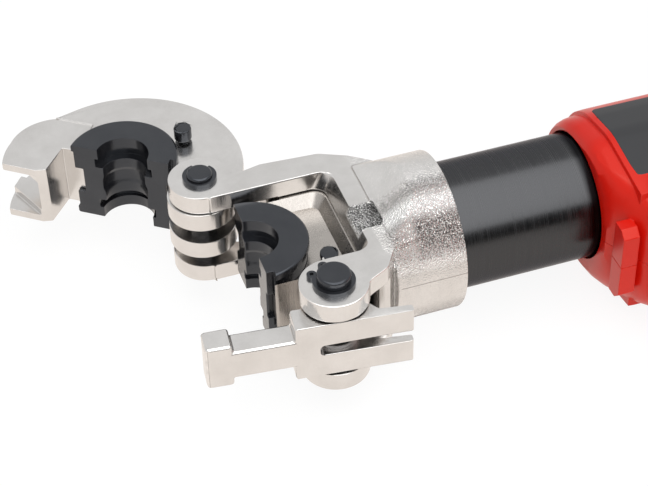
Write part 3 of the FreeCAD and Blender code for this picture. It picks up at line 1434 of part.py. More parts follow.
def main():
    """Build and write every node."""
    save("yoke", yoke())
    save("cylinder_tube", cylinder_tube())
    save("gland", gland())
    for name, radius, half, x, y, turn, eared in (
        ("hook_pin", HOOK_PIN_R, HOOK_PIN_HALF, HOOK_PIN_X, HOOK_PIN_Y, -110.0, False),
        ("latch_pin", LATCH_PIN_R, LATCH_PIN_HALF, LATCH_PIN_X, LATCH_PIN_Y, -60.0, True),
    ):
        save(name, hinge_pin(radius, half, x, y))
        clip = pin_clip(radius, x, y, turn, eared)
        save(name + "_clip_upper", clip)
        save(name + "_clip_lower", mirror_z(clip))
    save("hook_jaw", hook_jaw())
    save("upper_die", upper_die())
    button = die_button(HOOK_BUTTON_X, HOOK_BUTTON_Y, HOOK_HALF, UPPER_BUTTON_H)
    save("upper_die_button", opened(button))
    save("latch_lever", latch_lever())
    save("latch_spring", latch_spring())
    save("die_holder", die_holder())
    save("lower_die", lower_die())
    button = die_button(HOLDER_BUTTON_X, HOLDER_BUTTON_Y, HOLDER_FLOOR_Z, LOWER_BUTTON_H)
    save("lower_die_button", button)
    save("piston_rod", piston_rod())
    save("piston_seal", piston_seal())
    save("return_spring", return_spring())
    save("dust_ring", dust_ring())
    save("pump_block", pump_block())
    save("pump_plunger", pump_plunger())
    save("oil_bladder", oil_bladder())
    save("gearbox_case", gearbox_case())
    save("carrier_shaft", carrier_shaft())
    save("planet_gears", planet_gears())
    save("motor_can", motor_can())
    save("motor_stator", motor_stator())
    save("motor_rotor", motor_rotor())
    save("motor_fan", motor_fan())
    save("trigger", trigger())
    save("trigger_switch", trigger_switch())
    save("control_board", control_board())
    save("release_button", release_button())
    save("release_seat", release_seat())
    save("light_lens", light_lens())
    save("grip_pad", grip_pad())
    save("terminal_blades", terminal_blades())
    shell = housing()
    far = 300
    save("housing_upper", shell.common(box(-far, far, -far, far, 0, far)))
    save("housing_lower", shell.common(box(-far, far, -far, far, -far, 0)))
    panel = side_panel()
    save("side_panel_upper", panel)
    save("side_panel_lower", mirror_z(panel))
    for i, (x, y, z) in enumerate(screw_places(), 1):
        save(f"housing_screw_{i}", housing_screw(x, y, z))
    case = battery_case()
    save("battery_case_inner", case.common(box(-far, far, 0, BATTERY_SPLIT_Y, -far, far)))
    save("battery_case_outer", case.common(box(-far, far, BATTERY_SPLIT_Y, far, -far, far)))
    save("battery_cells", battery_cells())
    save("battery_cell_frame", cell_frame())
    save("battery_key_upper", battery_key(1))
    save("battery_key_lower", battery_key(-1))


main()
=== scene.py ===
import json
import math
from functools import reduce

import bpy
from mathutils import Matrix, Vector


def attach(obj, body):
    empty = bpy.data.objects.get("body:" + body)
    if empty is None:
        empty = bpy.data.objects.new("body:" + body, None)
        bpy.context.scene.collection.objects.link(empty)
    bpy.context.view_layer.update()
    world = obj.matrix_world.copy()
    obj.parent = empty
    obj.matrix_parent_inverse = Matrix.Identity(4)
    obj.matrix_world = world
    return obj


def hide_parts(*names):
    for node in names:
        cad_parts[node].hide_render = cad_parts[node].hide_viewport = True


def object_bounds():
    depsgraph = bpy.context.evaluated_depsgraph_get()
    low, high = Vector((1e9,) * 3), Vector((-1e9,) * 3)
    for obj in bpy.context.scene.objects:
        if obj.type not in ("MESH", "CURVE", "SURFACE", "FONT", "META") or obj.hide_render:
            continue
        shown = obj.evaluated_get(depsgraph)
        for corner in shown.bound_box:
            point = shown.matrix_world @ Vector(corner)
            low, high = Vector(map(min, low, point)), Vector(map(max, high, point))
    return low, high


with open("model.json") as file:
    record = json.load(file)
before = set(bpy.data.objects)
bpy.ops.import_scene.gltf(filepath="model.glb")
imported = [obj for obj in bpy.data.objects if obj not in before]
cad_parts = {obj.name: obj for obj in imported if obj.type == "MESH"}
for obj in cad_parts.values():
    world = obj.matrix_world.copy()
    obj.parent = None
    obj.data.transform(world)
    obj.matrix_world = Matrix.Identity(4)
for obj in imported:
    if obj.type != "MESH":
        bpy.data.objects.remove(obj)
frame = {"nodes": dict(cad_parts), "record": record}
cad_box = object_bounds()
nodes = frame["nodes"]

MM = 0.001

# Picture frame and the fitted viewpoint
PICTURE_W = 648
PICTURE_H = 486
SENSOR = 36.0
LENS = 106.67
VIEW_AZIMUTH = 72.2
VIEW_ELEVATION = 42.2
VIEW_ROLL = 1.6
VIEW_DISTANCE = 0.740
VIEW_END = 20.0
ORIGIN_PIXEL = (438.4, 227.8)

FLOOR_DROP = 0.0002
FLOOR_HALF = 3.0
FLOOR_GREY = (0.9, 0.9, 0.9)
FLOOR_ROUGHNESS = 0.9
FLOOR_SHEEN = 0.1
FLOOR_WHITE_SHARE = 0.85
FLOOR_GLOW = 1.06
WARM_FLOOR = (1.0, 0.925, 0.86)

BEVEL_ANGLE = math.radians(28)
SMOOTH_ANGLE = math.radians(34)
FLAT_ANGLE = math.radians(0.05)
EDGE_SEGMENTS = 2
SAME_SPOT = 0.002 * MM

# Light: a large soft panel overhead, a dark corner of the room near the viewer
PANEL_DIRECTION = math.radians(67)
PANEL_AWAY = 1.0
PANEL_SIZE = (1.3, 1.86)
PANEL_POWER = 13.0
ROOM_LIGHT = 0.32

# The dark corner that mirrors see: its edges above and below as angles, its side, how white it is
CORNER_TOP = (math.radians(21), math.radians(27))
CORNER_FOOT = (math.radians(-8), math.radians(-2))
CORNER_SIDE = (0.40, 0.60)
CORNER_WHITE = 0.06

# Latch frame: the pin's place and how far the lever leans
LATCH_PIN = (54.8 * MM, 36.4 * MM)
LATCH_LEAN = math.radians(-6.3)

# Latch head: its two far corners along and across the lever in mm, and how far they are drawn out
HEAD_FAR_CORNER = (45.3, 1.8)
HEAD_SIDE_CORNER = (49.9, 6.4)
HEAD_DRAW = 3.6 * MM
HEAD_REACH = 0.5 * MM

# Latch edges that are rounded: how long they are at least, how far along the lever its head
# starts, and the corners beside the hinge that stay sharp
LONG_EDGE = 5.0 * MM
LONG_EDGE_TURN = math.radians(40)
LATCH_HEAD_FROM = 39.0 * MM
LATCH_EDGE = 0.45 * MM
LATCH_HEAD_EDGE = 1.2 * MM
LATCH_SEGMENTS = 3
HINGE_CORNERS = ((44.9 * MM, 39.5 * MM), (65.2 * MM, 37.2 * MM))

# Side panels: where the let-in panel ends, and how far the finished one reaches
PANEL_FRONT = -69.1 * MM
PANEL_SIDES = (-11.9 * MM, 29.9 * MM)
PANEL_ROUND = 7.0 * MM
PANEL_DRAW = 2.4 * MM
PANEL_FALL = 0.17
PANEL_LIFT = 0.15 * MM
PANEL_LEAST_REACH = 0.1 * MM
PANEL_MOST_GROWTH = 1.6

# Colours
WHITE = (1.0, 1.0, 1.0)
NICKEL = ((0.67, 0.652, 0.635), (0.80, 0.785, 0.770))
# Painted shade: darker nickel tints for the holder between the yoke's arms
HOLDER_SHADE_NICKEL = ((0.40, 0.375, 0.35), (0.50, 0.47, 0.44))
# Painted highlight: paler nickel for the yoke's bright band and valley
HIGHLIGHT_NICKEL = (0.97, 0.965, 0.955)
# Painted shade: the dark colour in the pits of the yoke's cast skin
PIT_SHADE = (0.07, 0.068, 0.066)
PARTING_BROWN = (0.16, 0.14, 0.12)
OXIDE = (0.014, 0.014, 0.016)
OXIDE_CLOUDS = ((0.007, 0.007, 0.009), (0.015, 0.015, 0.017))
OXIDE_RUBBED = (0.075, 0.075, 0.078)
OXIDE_SHEEN = (0.80, 0.88, 1.0)
TUBE_BLACK = (0.062, 0.063, 0.066)
TUBE_PALE = (0.076, 0.077, 0.080)
# Painted shade on the tube where it enters the housing
TUBE_MOUTH_SHADE = (0.012, 0.012, 0.013)
TUBE_SHEEN = (0.58, 0.58, 0.60)
LENS_CLEAR = (0.9, 0.92, 0.93)
WARM_SHEEN = (1.0, 0.74, 0.6)

# Shares of its own colour that a mottled finish turns to, a worn plate's share, and how
# strongly wear shows on plate and on oxide
METAL_SHADES = (0.88, 1.08)
PLASTIC_SHADES = (0.93, 1.05)
WORN_SHADE = 1.15
PLATE_WEAR = 0.6
OXIDE_WEAR = 0.5

# Roughness at the glossiest and at the dullest spots, or as shares of a finish's own
METAL_GLOSS = (0.8, 1.25)
PLASTIC_GLOSS = (0.9, 1.1)
PLATE_GLOSS = (0.15, 0.27)
DULL_GLOSS = (0.22, 0.34)
OXIDE_GLOSS = (0.16, 0.30)
TUBE_GLOSS = (0.20, 0.31)
LENS_GLOSS = (0.05, 0.12)
CAST_GLOSS = 0.09
OIL_WEIGHT = 0.25
OIL_GLOSS = 0.08

# Noise scales, in waves to the metre
BROAD_GRAIN = 60.0
OXIDE_GRAIN = 1300.0
OXIDE_CLOUD = 110.0
OXIDE_BREAKUP = 500.0
PLATE_CLOUD = 75.0
PLATE_SPECK = 1700.0
PLATE_STREAKS = 1500.0
STREAK_STRETCH = (1.0, 1.0, 0.02)
PEBBLE_SCALE = 1450.0
PIT_SCALE = 1900.0
TUBE_LINES = 3200.0
TUBE_BANDS = 420.0
TUBE_GRAIN = 900.0
LENS_GRAIN = 300.0

# Where a noise turns from none to full
CLOUD_SPREAD = (0.34, 0.66)
LINE_SPREAD = (0.35, 0.65)
STREAK_SPREAD = (0.36, 0.64)
PEBBLE_SPREAD = (0.36, 0.64)
PIT_SPREAD = (0.44, 0.56)
EDGE_BREAKS = (0.35, 0.60)
TUBE_SPREAD = (0.2, 0.8)
TUBE_MIX = 0.33

# Softly rounded edges in the shading: how sharply a surface turns, radii and samples
EDGE_TURN = (0.99, 0.86)
EDGE_SAMPLES = 6
METAL_EDGE = 0.4 * MM
PLASTIC_EDGE = 0.5 * MM
OXIDE_EDGE = 0.25 * MM

# Heights that the light shows
PEBBLE_DEPTH = 0.8 * MM
STREAK_HEIGHT = 0.004 * MM
OXIDE_HEIGHT = 0.02 * MM
TUBE_HEIGHT = 0.01 * MM

# Where the yoke's cast skin shows, with its painted shade and painted highlight, in mm: soft
# edges as (from, to) along X, Y or off the middle plane
COLLAR_END = (25.0, 33.0)
SHOULDER = ((1.0, 9.0), (26.0, 30.0))
# The band on the collar where a painted highlight lies, and the share of cast skin left there
HIGHLIGHT_BAND = ((9.0, 12.5), (16.0, 19.0))
BAND_SKIN = 0.55
CAST_FAINT = 0.12
VALLEY_SIDES = ((-1.3, -0.3), (12.9, 13.9))
VALLEY_DEPTH = ((17.0, 17.5), (20.9, 21.4))
VALLEY_END = (41.0, 42.0)
VALLEY_SKIN = 0.9
# Painted shade in the pits: its share in the valley, where it lies on the near shoulder and on
# top, and its share there
VALLEY_PIT_SHADE_SHARE = 0.95
NEAR_PIT_SHADE = ((17.0, 20.0), (25.0, 29.0))
NEAR_PIT_SHADE_END = (16.5, 19.5)
TOP_PIT_SHADE = ((1.0, 5.0), (8.0, 11.0))
TOP_PIT_SHADE_SHARE = 0.5
PIT_SHADE_SHARE = 0.9

# The casting's parting line: its height, half width, strength, and where it starts and ends
PARTING_Z = 3.4 * MM
PARTING_WIDTH = (0.05, 0.22)
PARTING_SHARE = 0.7
PARTING_NEAR = (24.0, 26.0)
PARTING_END = (26.0, 27.0)

# Where painted shade darkens the cylinder as it enters the housing
MOUTH_SHADE_SPAN = (-54.5, -52.0)

# Parts whose flats stay sound when their triangles are joined before the edges are rounded
WHOLE_FLATS = (
    "yoke",
    "hook_jaw",
    "latch_lever",
    "upper_die",
    "lower_die",
    "cylinder_tube",
    "side_panel_upper",
    "side_panel_lower",
    "battery_case_outer",
)

SLOT_OF = {row["node"]: row["material_slot"] for row in frame["record"]["subparts"]}
BODY_OF = {
    node: body
    for body, members in frame["record"]["behaviour"]["bodies"].items()
    for node in members
}


def deselect():
    """Nothing stays selected before an operator runs."""
    if bpy.context.object and bpy.context.object.mode != "OBJECT":
        bpy.ops.object.mode_set(mode="OBJECT")
    bpy.ops.object.select_all(action="DESELECT")


def only(obj):
    """Make one object the selected and active one."""
    deselect()
    obj.select_set(True)
    bpy.context.view_layer.objects.active = obj


def apply_modifier(obj, kind, **settings):
    """Add one modifier, set it and apply it."""
    only(obj)
    modifier = obj.modifiers.new(kind.title(), kind)
    for key, value in settings.items():
        setattr(modifier, key, value)
    bpy.ops.object.modifier_apply(modifier=modifier.name)


def merged_copy(node):
    """A copy of a node's mesh with its triangles joined and, where it is sound, whole flats."""
    piece = bpy.data.objects.new(node + "_finished", nodes[node].data.copy())
    bpy.context.scene.collection.objects.link(piece)
    only(piece)
    bpy.ops.mesh.customdata_custom_splitnormals_clear()
    bpy.ops.object.mode_set(mode="EDIT")
    bpy.ops.mesh.select_all(action="SELECT")
    bpy.ops.mesh.remove_doubles(threshold=SAME_SPOT)
    if node in WHOLE_FLATS:
        bpy.ops.mesh.dissolve_limited(angle_limit=FLAT_ANGLE)
    bpy.ops.object.mode_set(mode="OBJECT")
    return piece


def rounded(piece, width):
    """Round the edges, where a width is given, and smooth the curved faces."""
    if width:
        apply_modifier(
            piece,
            "BEVEL",
            width=width,
            segments=EDGE_SEGMENTS,
            limit_method="ANGLE",
            angle_limit=BEVEL_ANGLE,
            use_clamp_overlap=False,
            miter_outer="MITER_ARC",
        )
    only(piece)
    bpy.ops.object.shade_smooth_by_angle(angle=SMOOTH_ANGLE)
    apply_modifier(piece, "WEIGHTED_NORMAL", mode="FACE_AREA", weight=50, keep_sharp=True)


def stands_for(piece, node, finish):
    """Let a finished piece stand for a node and ride with its body."""
    piece.data.materials.clear()
    piece.data.materials.append(finish)
    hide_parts(node)
    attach(piece, BODY_OF[node])


# Node groups that several finishes share

def new_group(name, inputs, outputs):
    """An empty shader group with named sockets: (name, kind, start value)."""
    group = bpy.data.node_groups.new(name, "ShaderNodeTree")
    for label, kind, value in inputs:
        socket = group.interface.new_socket(label, in_out="INPUT", socket_type=kind)
        if value is not None:
            socket.default_value = value
    for label, kind in outputs:
        group.interface.new_socket(label, in_out="OUTPUT", socket_type=kind)
    return group, group.nodes.new("NodeGroupInput"), group.nodes.new("NodeGroupOutput")


def feed(tree, socket, value):
    """Give a socket another socket's output, a colour or a number."""
    if isinstance(value, bpy.types.NodeSocket):
        tree.links.new(value, socket)
    elif isinstance(value, tuple):
        socket.default_value = (*value, 1.0)
    else:
        socket.default_value = value


def place_on(tree):
    """The place on a piece, in its own coordinates."""
    return tree.nodes.new("ShaderNodeTexCoord").outputs["Object"]


def place_parts(tree):
    """The X, Y and Z of the place on a piece."""
    split = tree.nodes.new("ShaderNodeSeparateXYZ")
    tree.links.new(place_on(tree), split.inputs[0])
    return split.outputs["X"], split.outputs["Y"], split.outputs["Z"]


def noise(tree, vector, scale, detail, roughness=0.5):
    """A noise texture on the given coordinates."""
    node = tree.nodes.new("ShaderNodeTexNoise")
    node.inputs["Detail"].default_value = detail
    node.inputs["Roughness"].default_value = roughness
    feed(tree, node.inputs["Scale"], scale)
    tree.links.new(vector, node.inputs["Vector"])
    return node.outputs["Fac"]


def ramp(tree, value, low, high, out_low=0.0, out_high=1.0):
    """A value spread between two limits."""
    node = tree.nodes.new("ShaderNodeMapRange")
    node.clamp = True
    tree.links.new(value, node.inputs["Value"])
    feed(tree, node.inputs["From Min"], low)
    feed(tree, node.inputs["From Max"], high)
    feed(tree, node.inputs["To Min"], out_low)
    feed(tree, node.inputs["To Max"], out_high)
    return node.outputs["Result"]


def rising(tree, value, limits):
    """0 before a soft edge and 1 past it, with its limits in mm."""
    return ramp(tree, value, limits[0] * MM, limits[1] * MM)


def fading(tree, value, limits):
    """1 before a soft edge and 0 past it, with its limits in mm."""
    return ramp(tree, value, limits[0] * MM, limits[1] * MM, 1.0, 0.0)


def arithmetic(tree, operation, first, second):
    """One step of arithmetic on two values or sockets."""
    node = tree.nodes.new("ShaderNodeMath")
    node.operation = operation
    feed(tree, node.inputs[0], first)
    feed(tree, node.inputs[1], second)
    return node.outputs[0]


def product(tree, *values):
    """Values multiplied, one after another."""
    return reduce(lambda one, two: arithmetic(tree, "MULTIPLY", one, two), values)


def largest(tree, *values):
    """The largest of some values."""
    return reduce(lambda one, two: arithmetic(tree, "MAXIMUM", one, two), values)


def average(tree, one, two):
    """The middle between two values."""
    return product(tree, arithmetic(tree, "ADD", one, two), 0.5)


def zone(tree, value, rise, fall):
    """1 between two soft edges, 0 outside them."""
    return product(tree, rising(tree, value, rise), fading(tree, value, fall))


def colour_mix(tree, share, first, second):
    """A colour between two, by a share."""
    node = tree.nodes.new("ShaderNodeMix")
    node.data_type = "RGBA"
    tree.links.new(share, node.inputs["Factor"])
    for label, colour in (("A", first), ("B", second)):
        socket = [s for s in node.inputs if s.name == label and s.type == "RGBA"][0]
        feed(tree, socket, colour)
    return [s for s in node.outputs if s.type == "RGBA"][0]


def shade(colour, share):
    """A colour made darker or paler by a share."""
    return tuple(min(1.0, channel * share) for channel in colour)


def soft_edges(tree, radius):
    """Normals as if the edges were rounded."""
    node = tree.nodes.new("ShaderNodeBevel")
    node.samples = EDGE_SAMPLES
    feed(tree, node.inputs["Radius"], radius)
    return node.outputs["Normal"]


def grain_group():
    """Fine mottling: a mask and a height from two sizes of noise."""
    group, given, out = new_group(
        "fine_grain",
        [("Scale", "NodeSocketFloat", 900.0), ("Contrast", "NodeSocketFloat", 1.0)],
        [("Mask", "NodeSocketFloat"), ("Height", "NodeSocketFloat")],
    )
    fine = noise(group, place_on(group), given.outputs["Scale"], detail=3.0, roughness=0.6)
    broad = noise(group, place_on(group), BROAD_GRAIN, detail=2.0)
    spread = arithmetic(group, "SUBTRACT", average(group, fine, broad), 0.5)
    spread = product(group, spread, given.outputs["Contrast"])
    group.links.new(ramp(group, spread, -0.5, 0.5), out.inputs["Mask"])
    group.links.new(fine, out.inputs["Height"])
    return group


def edge_group():
    """Where a surface turns sharply: 1 on worn edges, 0 on flats."""
    group, given, out = new_group(
        "edge_wear",
        [("Radius", "NodeSocketFloat", 0.0005), ("Breakup", "NodeSocketFloat", 400.0)],
        [("Mask", "NodeSocketFloat")],
    )
    geometry = group.nodes.new("ShaderNodeNewGeometry")
    dot = group.nodes.new("ShaderNodeVectorMath")
    dot.operation = "DOT_PRODUCT"
    group.links.new(soft_edges(group, given.outputs["Radius"]), dot.inputs[0])
    group.links.new(geometry.outputs["Normal"], dot.inputs[1])
    edge = ramp(group, dot.outputs["Value"], *EDGE_TURN)
    breaks = noise(group, place_on(group), given.outputs["Breakup"], detail=2.0)
    worn = product(group, edge, ramp(group, breaks, *EDGE_BREAKS))
    group.links.new(worn, out.inputs["Mask"])
    return group


def turning_group():
    """Fine lines round the X axis, as a lathe leaves them."""
    group, given, out = new_group(
        "turning_lines",
        [("Pitch", "NodeSocketFloat", 2600.0)],
        [("Height", "NodeSocketFloat"), ("Mask", "NodeSocketFloat")],
    )
    line = group.nodes.new("ShaderNodeTexNoise")
    line.noise_dimensions = "1D"
    line.inputs["Detail"].default_value = 2.0
    group.links.new(place_parts(group)[0], line.inputs["W"])
    group.links.new(given.outputs["Pitch"], line.inputs["Scale"])
    group.links.new(line.outputs["Fac"], out.inputs["Height"])
    group.links.new(ramp(group, line.outputs["Fac"], *LINE_SPREAD), out.inputs["Mask"])
    return group


def cloud_group():
    """Broad uneven sheen of a plated surface."""
    group, given, out = new_group(
        "cloudy_plate",
        [("Scale", "NodeSocketFloat", 60.0)],
        [("Mask", "NodeSocketFloat")],
    )
    cloud = noise(group, place_on(group), given.outputs["Scale"], detail=4.0, roughness=0.62)
    group.links.new(ramp(group, cloud, *CLOUD_SPREAD), out.inputs["Mask"])
    return group


def streak_group():
    """Fine upright machining streaks."""
    group, given, out = new_group(
        "machining_streaks",
        [("Scale", "NodeSocketFloat", 1400.0), ("Stretch", "NodeSocketVector", None)],
        [("Mask", "NodeSocketFloat"), ("Height", "NodeSocketFloat")],
    )
    stretch = group.nodes.new("ShaderNodeVectorMath")
    stretch.operation = "MULTIPLY"
    group.links.new(place_on(group), stretch.inputs[0])
    group.links.new(given.outputs["Stretch"], stretch.inputs[1])
    line = noise(group, stretch.outputs[0], given.outputs["Scale"], detail=2.0, roughness=0.55)
    group.links.new(ramp(group, line, *STREAK_SPREAD), out.inputs["Mask"])
    group.links.new(line, out.inputs["Height"])
    return group


GRAIN = grain_group()
EDGES = edge_group()
TURNING = turning_group()
CLOUDS = cloud_group()
STREAKS = streak_group()


def material(name, colour, metallic, roughness):
    """A new material with its Principled shader."""
    made = bpy.data.materials.new(name)
    made.use_nodes = True
    shader = made.node_tree.nodes["Principled BSDF"]
    feed(made.node_tree, shader.inputs["Base Color"], colour)
    shader.inputs["Metallic"].default_value = metallic
    shader.inputs["Roughness"].default_value = roughness
    return made, made.node_tree, shader


def placed(tree, group, **values):
    """One use of a shared group with its own values."""
    node = tree.nodes.new("ShaderNodeGroup")
    node.node_tree = group
    for label, value in values.items():
        node.inputs[label].default_value = value
    return node


def glossed(tree, shader, mask, limits):
    """Spread a mask between two roughnesses and give them to the shader."""
    gloss = ramp(tree, mask, 0.0, 1.0, *limits)
    tree.links.new(gloss, shader.inputs["Roughness"])


def bumped(tree, shader, height, strength, distance, radius=0.0):
    """Feed a height into the shader's normal, over softly rounded edges."""
    bump = tree.nodes.new("ShaderNodeBump")
    bump.inputs["Strength"].default_value = strength
    bump.inputs["Distance"].default_value = distance
    tree.links.new(height, bump.inputs["Height"])
    if radius:
        tree.links.new(soft_edges(tree, radius), bump.inputs["Normal"])
    tree.links.new(bump.outputs["Normal"], shader.inputs["Normal"])


def worn_metal(name, colour, edge_colour, roughness, grain, height, radius=METAL_EDGE):
    """Metal with mottled gloss and brighter worn edges."""
    made, tree, shader = material(name, colour, 1.0, roughness)
    mottle = placed(tree, GRAIN, Scale=grain, Contrast=1.6)
    edges = placed(tree, EDGES, Radius=radius)
    dark, pale = (shade(colour, share) for share in METAL_SHADES)
    tint = colour_mix(tree, mottle.outputs["Mask"], dark, pale)
    tint = colour_mix(tree, edges.outputs["Mask"], tint, edge_colour)
    tree.links.new(tint, shader.inputs["Base Color"])
    glossed(tree, shader, mottle.outputs["Mask"], [roughness * share for share in METAL_GLOSS])
    bumped(tree, shader, mottle.outputs["Height"], 0.35, height, radius)
    return made


def blackened_steel():
    """Black oxide steel: dark, oiled, with paler worn edges."""
    made, tree, shader = material("blackened_steel", OXIDE, 0.0, 0.32)
    shader.inputs["Specular IOR Level"].default_value = 0.6
    feed(tree, shader.inputs["Specular Tint"], OXIDE_SHEEN)
    shader.inputs["Coat Weight"].default_value = OIL_WEIGHT
    shader.inputs["Coat Roughness"].default_value = OIL_GLOSS
    mottle = placed(tree, GRAIN, Scale=OXIDE_GRAIN, Contrast=1.8)
    cloud = placed(tree, CLOUDS, Scale=OXIDE_CLOUD)
    edges = placed(tree, EDGES, Radius=OXIDE_EDGE, Breakup=OXIDE_BREAKUP)
    tint = colour_mix(tree, cloud.outputs["Mask"], *OXIDE_CLOUDS)
    wear_and_painted_highlight = product(tree, edges.outputs["Mask"], OXIDE_WEAR)
    tint = colour_mix(tree, wear_and_painted_highlight, tint, OXIDE_RUBBED)
    tree.links.new(tint, shader.inputs["Base Color"])
    glossed(tree, shader, mottle.outputs["Mask"], OXIDE_GLOSS)
    bumped(tree, shader, mottle.outputs["Height"], 0.3, OXIDE_HEIGHT)
    return made


def plated_metal(name, tints, gloss_limits, pebbled=False):
    """Nickel plate: cloudy sheen, faint machining streaks; pebbled where left as cast, with
    painted shade in its pits and a painted highlight there.
    """
    dark, light = tints
    made, tree, shader = material(name, light, 1.0, gloss_limits[0])
    cloud = placed(tree, CLOUDS, Scale=PLATE_CLOUD).outputs["Mask"]
    speck = placed(tree, GRAIN, Scale=PLATE_SPECK, Contrast=2.0).outputs["Mask"]
    streaks = placed(tree, STREAKS, Scale=PLATE_STREAKS, Stretch=STREAK_STRETCH)
    edges = placed(tree, EDGES, Radius=METAL_EDGE)
    tint = colour_mix(tree, average(tree, cloud, speck), dark, light)
    worn = product(tree, edges.outputs["Mask"], PLATE_WEAR)
    tint = colour_mix(tree, worn, tint, shade(light, WORN_SHADE))
    sheen = average(tree, cloud, streaks.outputs["Mask"])
    gloss = ramp(tree, sheen, 0.0, 1.0, *gloss_limits)
    height = product(tree, streaks.outputs["Height"], STREAK_HEIGHT / PEBBLE_DEPTH)
    if pebbled:
        where, pit_shade_area, wear_and_painted_highlight = cast_area(tree)
        pebble = noise(tree, place_on(tree), PEBBLE_SCALE, detail=2.5, roughness=0.6)
        pebble = ramp(tree, pebble, *PEBBLE_SPREAD)
        pit_shade = noise(tree, place_on(tree), PIT_SCALE, detail=2.0, roughness=0.6)
        pit_shade = ramp(tree, pit_shade, *PIT_SPREAD, PIT_SHADE_SHARE, 0.0)
        # Painted highlight: a paler colour on the bright band and the valley
        tint = colour_mix(tree, wear_and_painted_highlight, tint, HIGHLIGHT_NICKEL)
        # Painted shade: the pits of the cast skin darkened in the colour
        tint = colour_mix(tree, product(tree, pit_shade, pit_shade_area), tint, PIT_SHADE)
        tint = colour_mix(tree, parting_line(tree), tint, PARTING_BROWN)
        height = arithmetic(tree, "ADD", height, product(tree, pebble, where))
        gloss = ramp(tree, where, 0.0, 1.0, gloss, CAST_GLOSS)
    tree.links.new(tint, shader.inputs["Base Color"])
    tree.links.new(gloss, shader.inputs["Roughness"])
    bumped(tree, shader, height, 1.0, PEBBLE_DEPTH)
    return made


def parting_line(tree):
    """The thin line that the casting mould left along the collar's near side."""
    x, y, z = place_parts(tree)
    off = arithmetic(tree, "ABSOLUTE", arithmetic(tree, "SUBTRACT", z, PARTING_Z), 0.0)
    thin = ramp(tree, off, PARTING_WIDTH[0] * MM, PARTING_WIDTH[1] * MM, PARTING_SHARE, 0.0)
    return product(tree, thin, rising(tree, y, PARTING_NEAR), fading(tree, x, PARTING_END))


def cast_area(tree):
    """How far the cast skin, painted shade in its pits and painted highlight on band and valley
    show.
    """
    x, y, z = place_parts(tree)
    height = arithmetic(tree, "ABSOLUTE", z, 0.0)
    rear = fading(tree, x, COLLAR_END)
    shoulder = ramp(tree, zone(tree, y, *SHOULDER), 0.0, 1.0, CAST_FAINT, 1.0)
    valley = product(
        tree,
        zone(tree, y, *VALLEY_SIDES),
        zone(tree, height, *VALLEY_DEPTH),
        fading(tree, x, VALLEY_END),
    )
    # The band of painted highlight, where the cast skin is also calmer
    band = product(tree, zone(tree, y, *HIGHLIGHT_BAND), rear)
    calm = ramp(tree, band, 0.0, 1.0, 1.0, BAND_SKIN)
    skin = largest(
        tree, product(tree, shoulder, rear, calm), product(tree, valley, VALLEY_SKIN)
    )
    # Painted shade in the pits: on the near shoulder, on top and in the valley
    near_pit_shade = product(tree, zone(tree, y, *NEAR_PIT_SHADE), fading(tree, x, NEAR_PIT_SHADE_END))
    top_pit_shade = product(tree, zone(tree, y, *TOP_PIT_SHADE), rear, TOP_PIT_SHADE_SHARE)
    pit_shade = largest(tree, near_pit_shade, top_pit_shade, product(tree, valley, VALLEY_PIT_SHADE_SHARE))
    return skin, pit_shade, largest(tree, band, valley)


def moulded_plastic(name, colour, roughness, grain=1500.0, height=0.04 * MM, sheen=WHITE):
    """Plastic with a fine mould grain."""
    made, tree, shader = material(name, colour, 0.0, roughness)
    feed(tree, shader.inputs["Specular Tint"], sheen)
    mottle = placed(tree, GRAIN, Scale=grain, Contrast=1.0)
    dark, pale = (shade(colour, share) for share in PLASTIC_SHADES)
    tint = colour_mix(tree, mottle.outputs["Mask"], dark, pale)
    tree.links.new(tint, shader.inputs["Base Color"])
    glossed(tree, shader, mottle.outputs["Mask"], [roughness * share for share in PLASTIC_GLOSS])
    bumped(tree, shader, mottle.outputs["Height"], 0.3, height, PLASTIC_EDGE)
    return made


def black_tube():
    """Black anodised aluminium with turning lines, with painted shade where it enters the
    housing.
    """
    made, tree, shader = material("black_tube", TUBE_BLACK, 1.0, 0.25)
    feed(tree, shader.inputs["Specular Tint"], TUBE_SHEEN)
    lines = placed(tree, TURNING, Pitch=TUBE_LINES)
    bands = placed(tree, TURNING, Pitch=TUBE_BANDS)
    mottle = placed(tree, GRAIN, Scale=TUBE_GRAIN, Contrast=1.6)
    mix = arithmetic(tree, "ADD", lines.outputs["Mask"], mottle.outputs["Mask"])
    mix = product(tree, arithmetic(tree, "ADD", mix, bands.outputs["Mask"]), TUBE_MIX)
    gloss = ramp(tree, mix, *TUBE_SPREAD, *TUBE_GLOSS)
    tree.links.new(gloss, shader.inputs["Roughness"])
    tint = colour_mix(tree, mix, TUBE_BLACK, TUBE_PALE)
    # Painted shade darkens the tube where it enters the housing
    mouth_shade = fading(tree, place_parts(tree)[0], MOUTH_SHADE_SPAN)
    tint = colour_mix(tree, mouth_shade, tint, TUBE_MOUTH_SHADE)
    tree.links.new(tint, shader.inputs["Base Color"])
    bumped(tree, shader, lines.outputs["Height"], 0.2, TUBE_HEIGHT)
    return made


def clear_lens():
    """The clear lamp lens."""
    made, tree, shader = material("clear_lens", LENS_CLEAR, 0.0, 0.08)
    shader.inputs["Transmission Weight"].default_value = 0.8
    mottle = placed(tree, GRAIN, Scale=LENS_GRAIN, Contrast=0.6)
    glossed(tree, shader, mottle.outputs["Mask"], LENS_GLOSS)
    return made


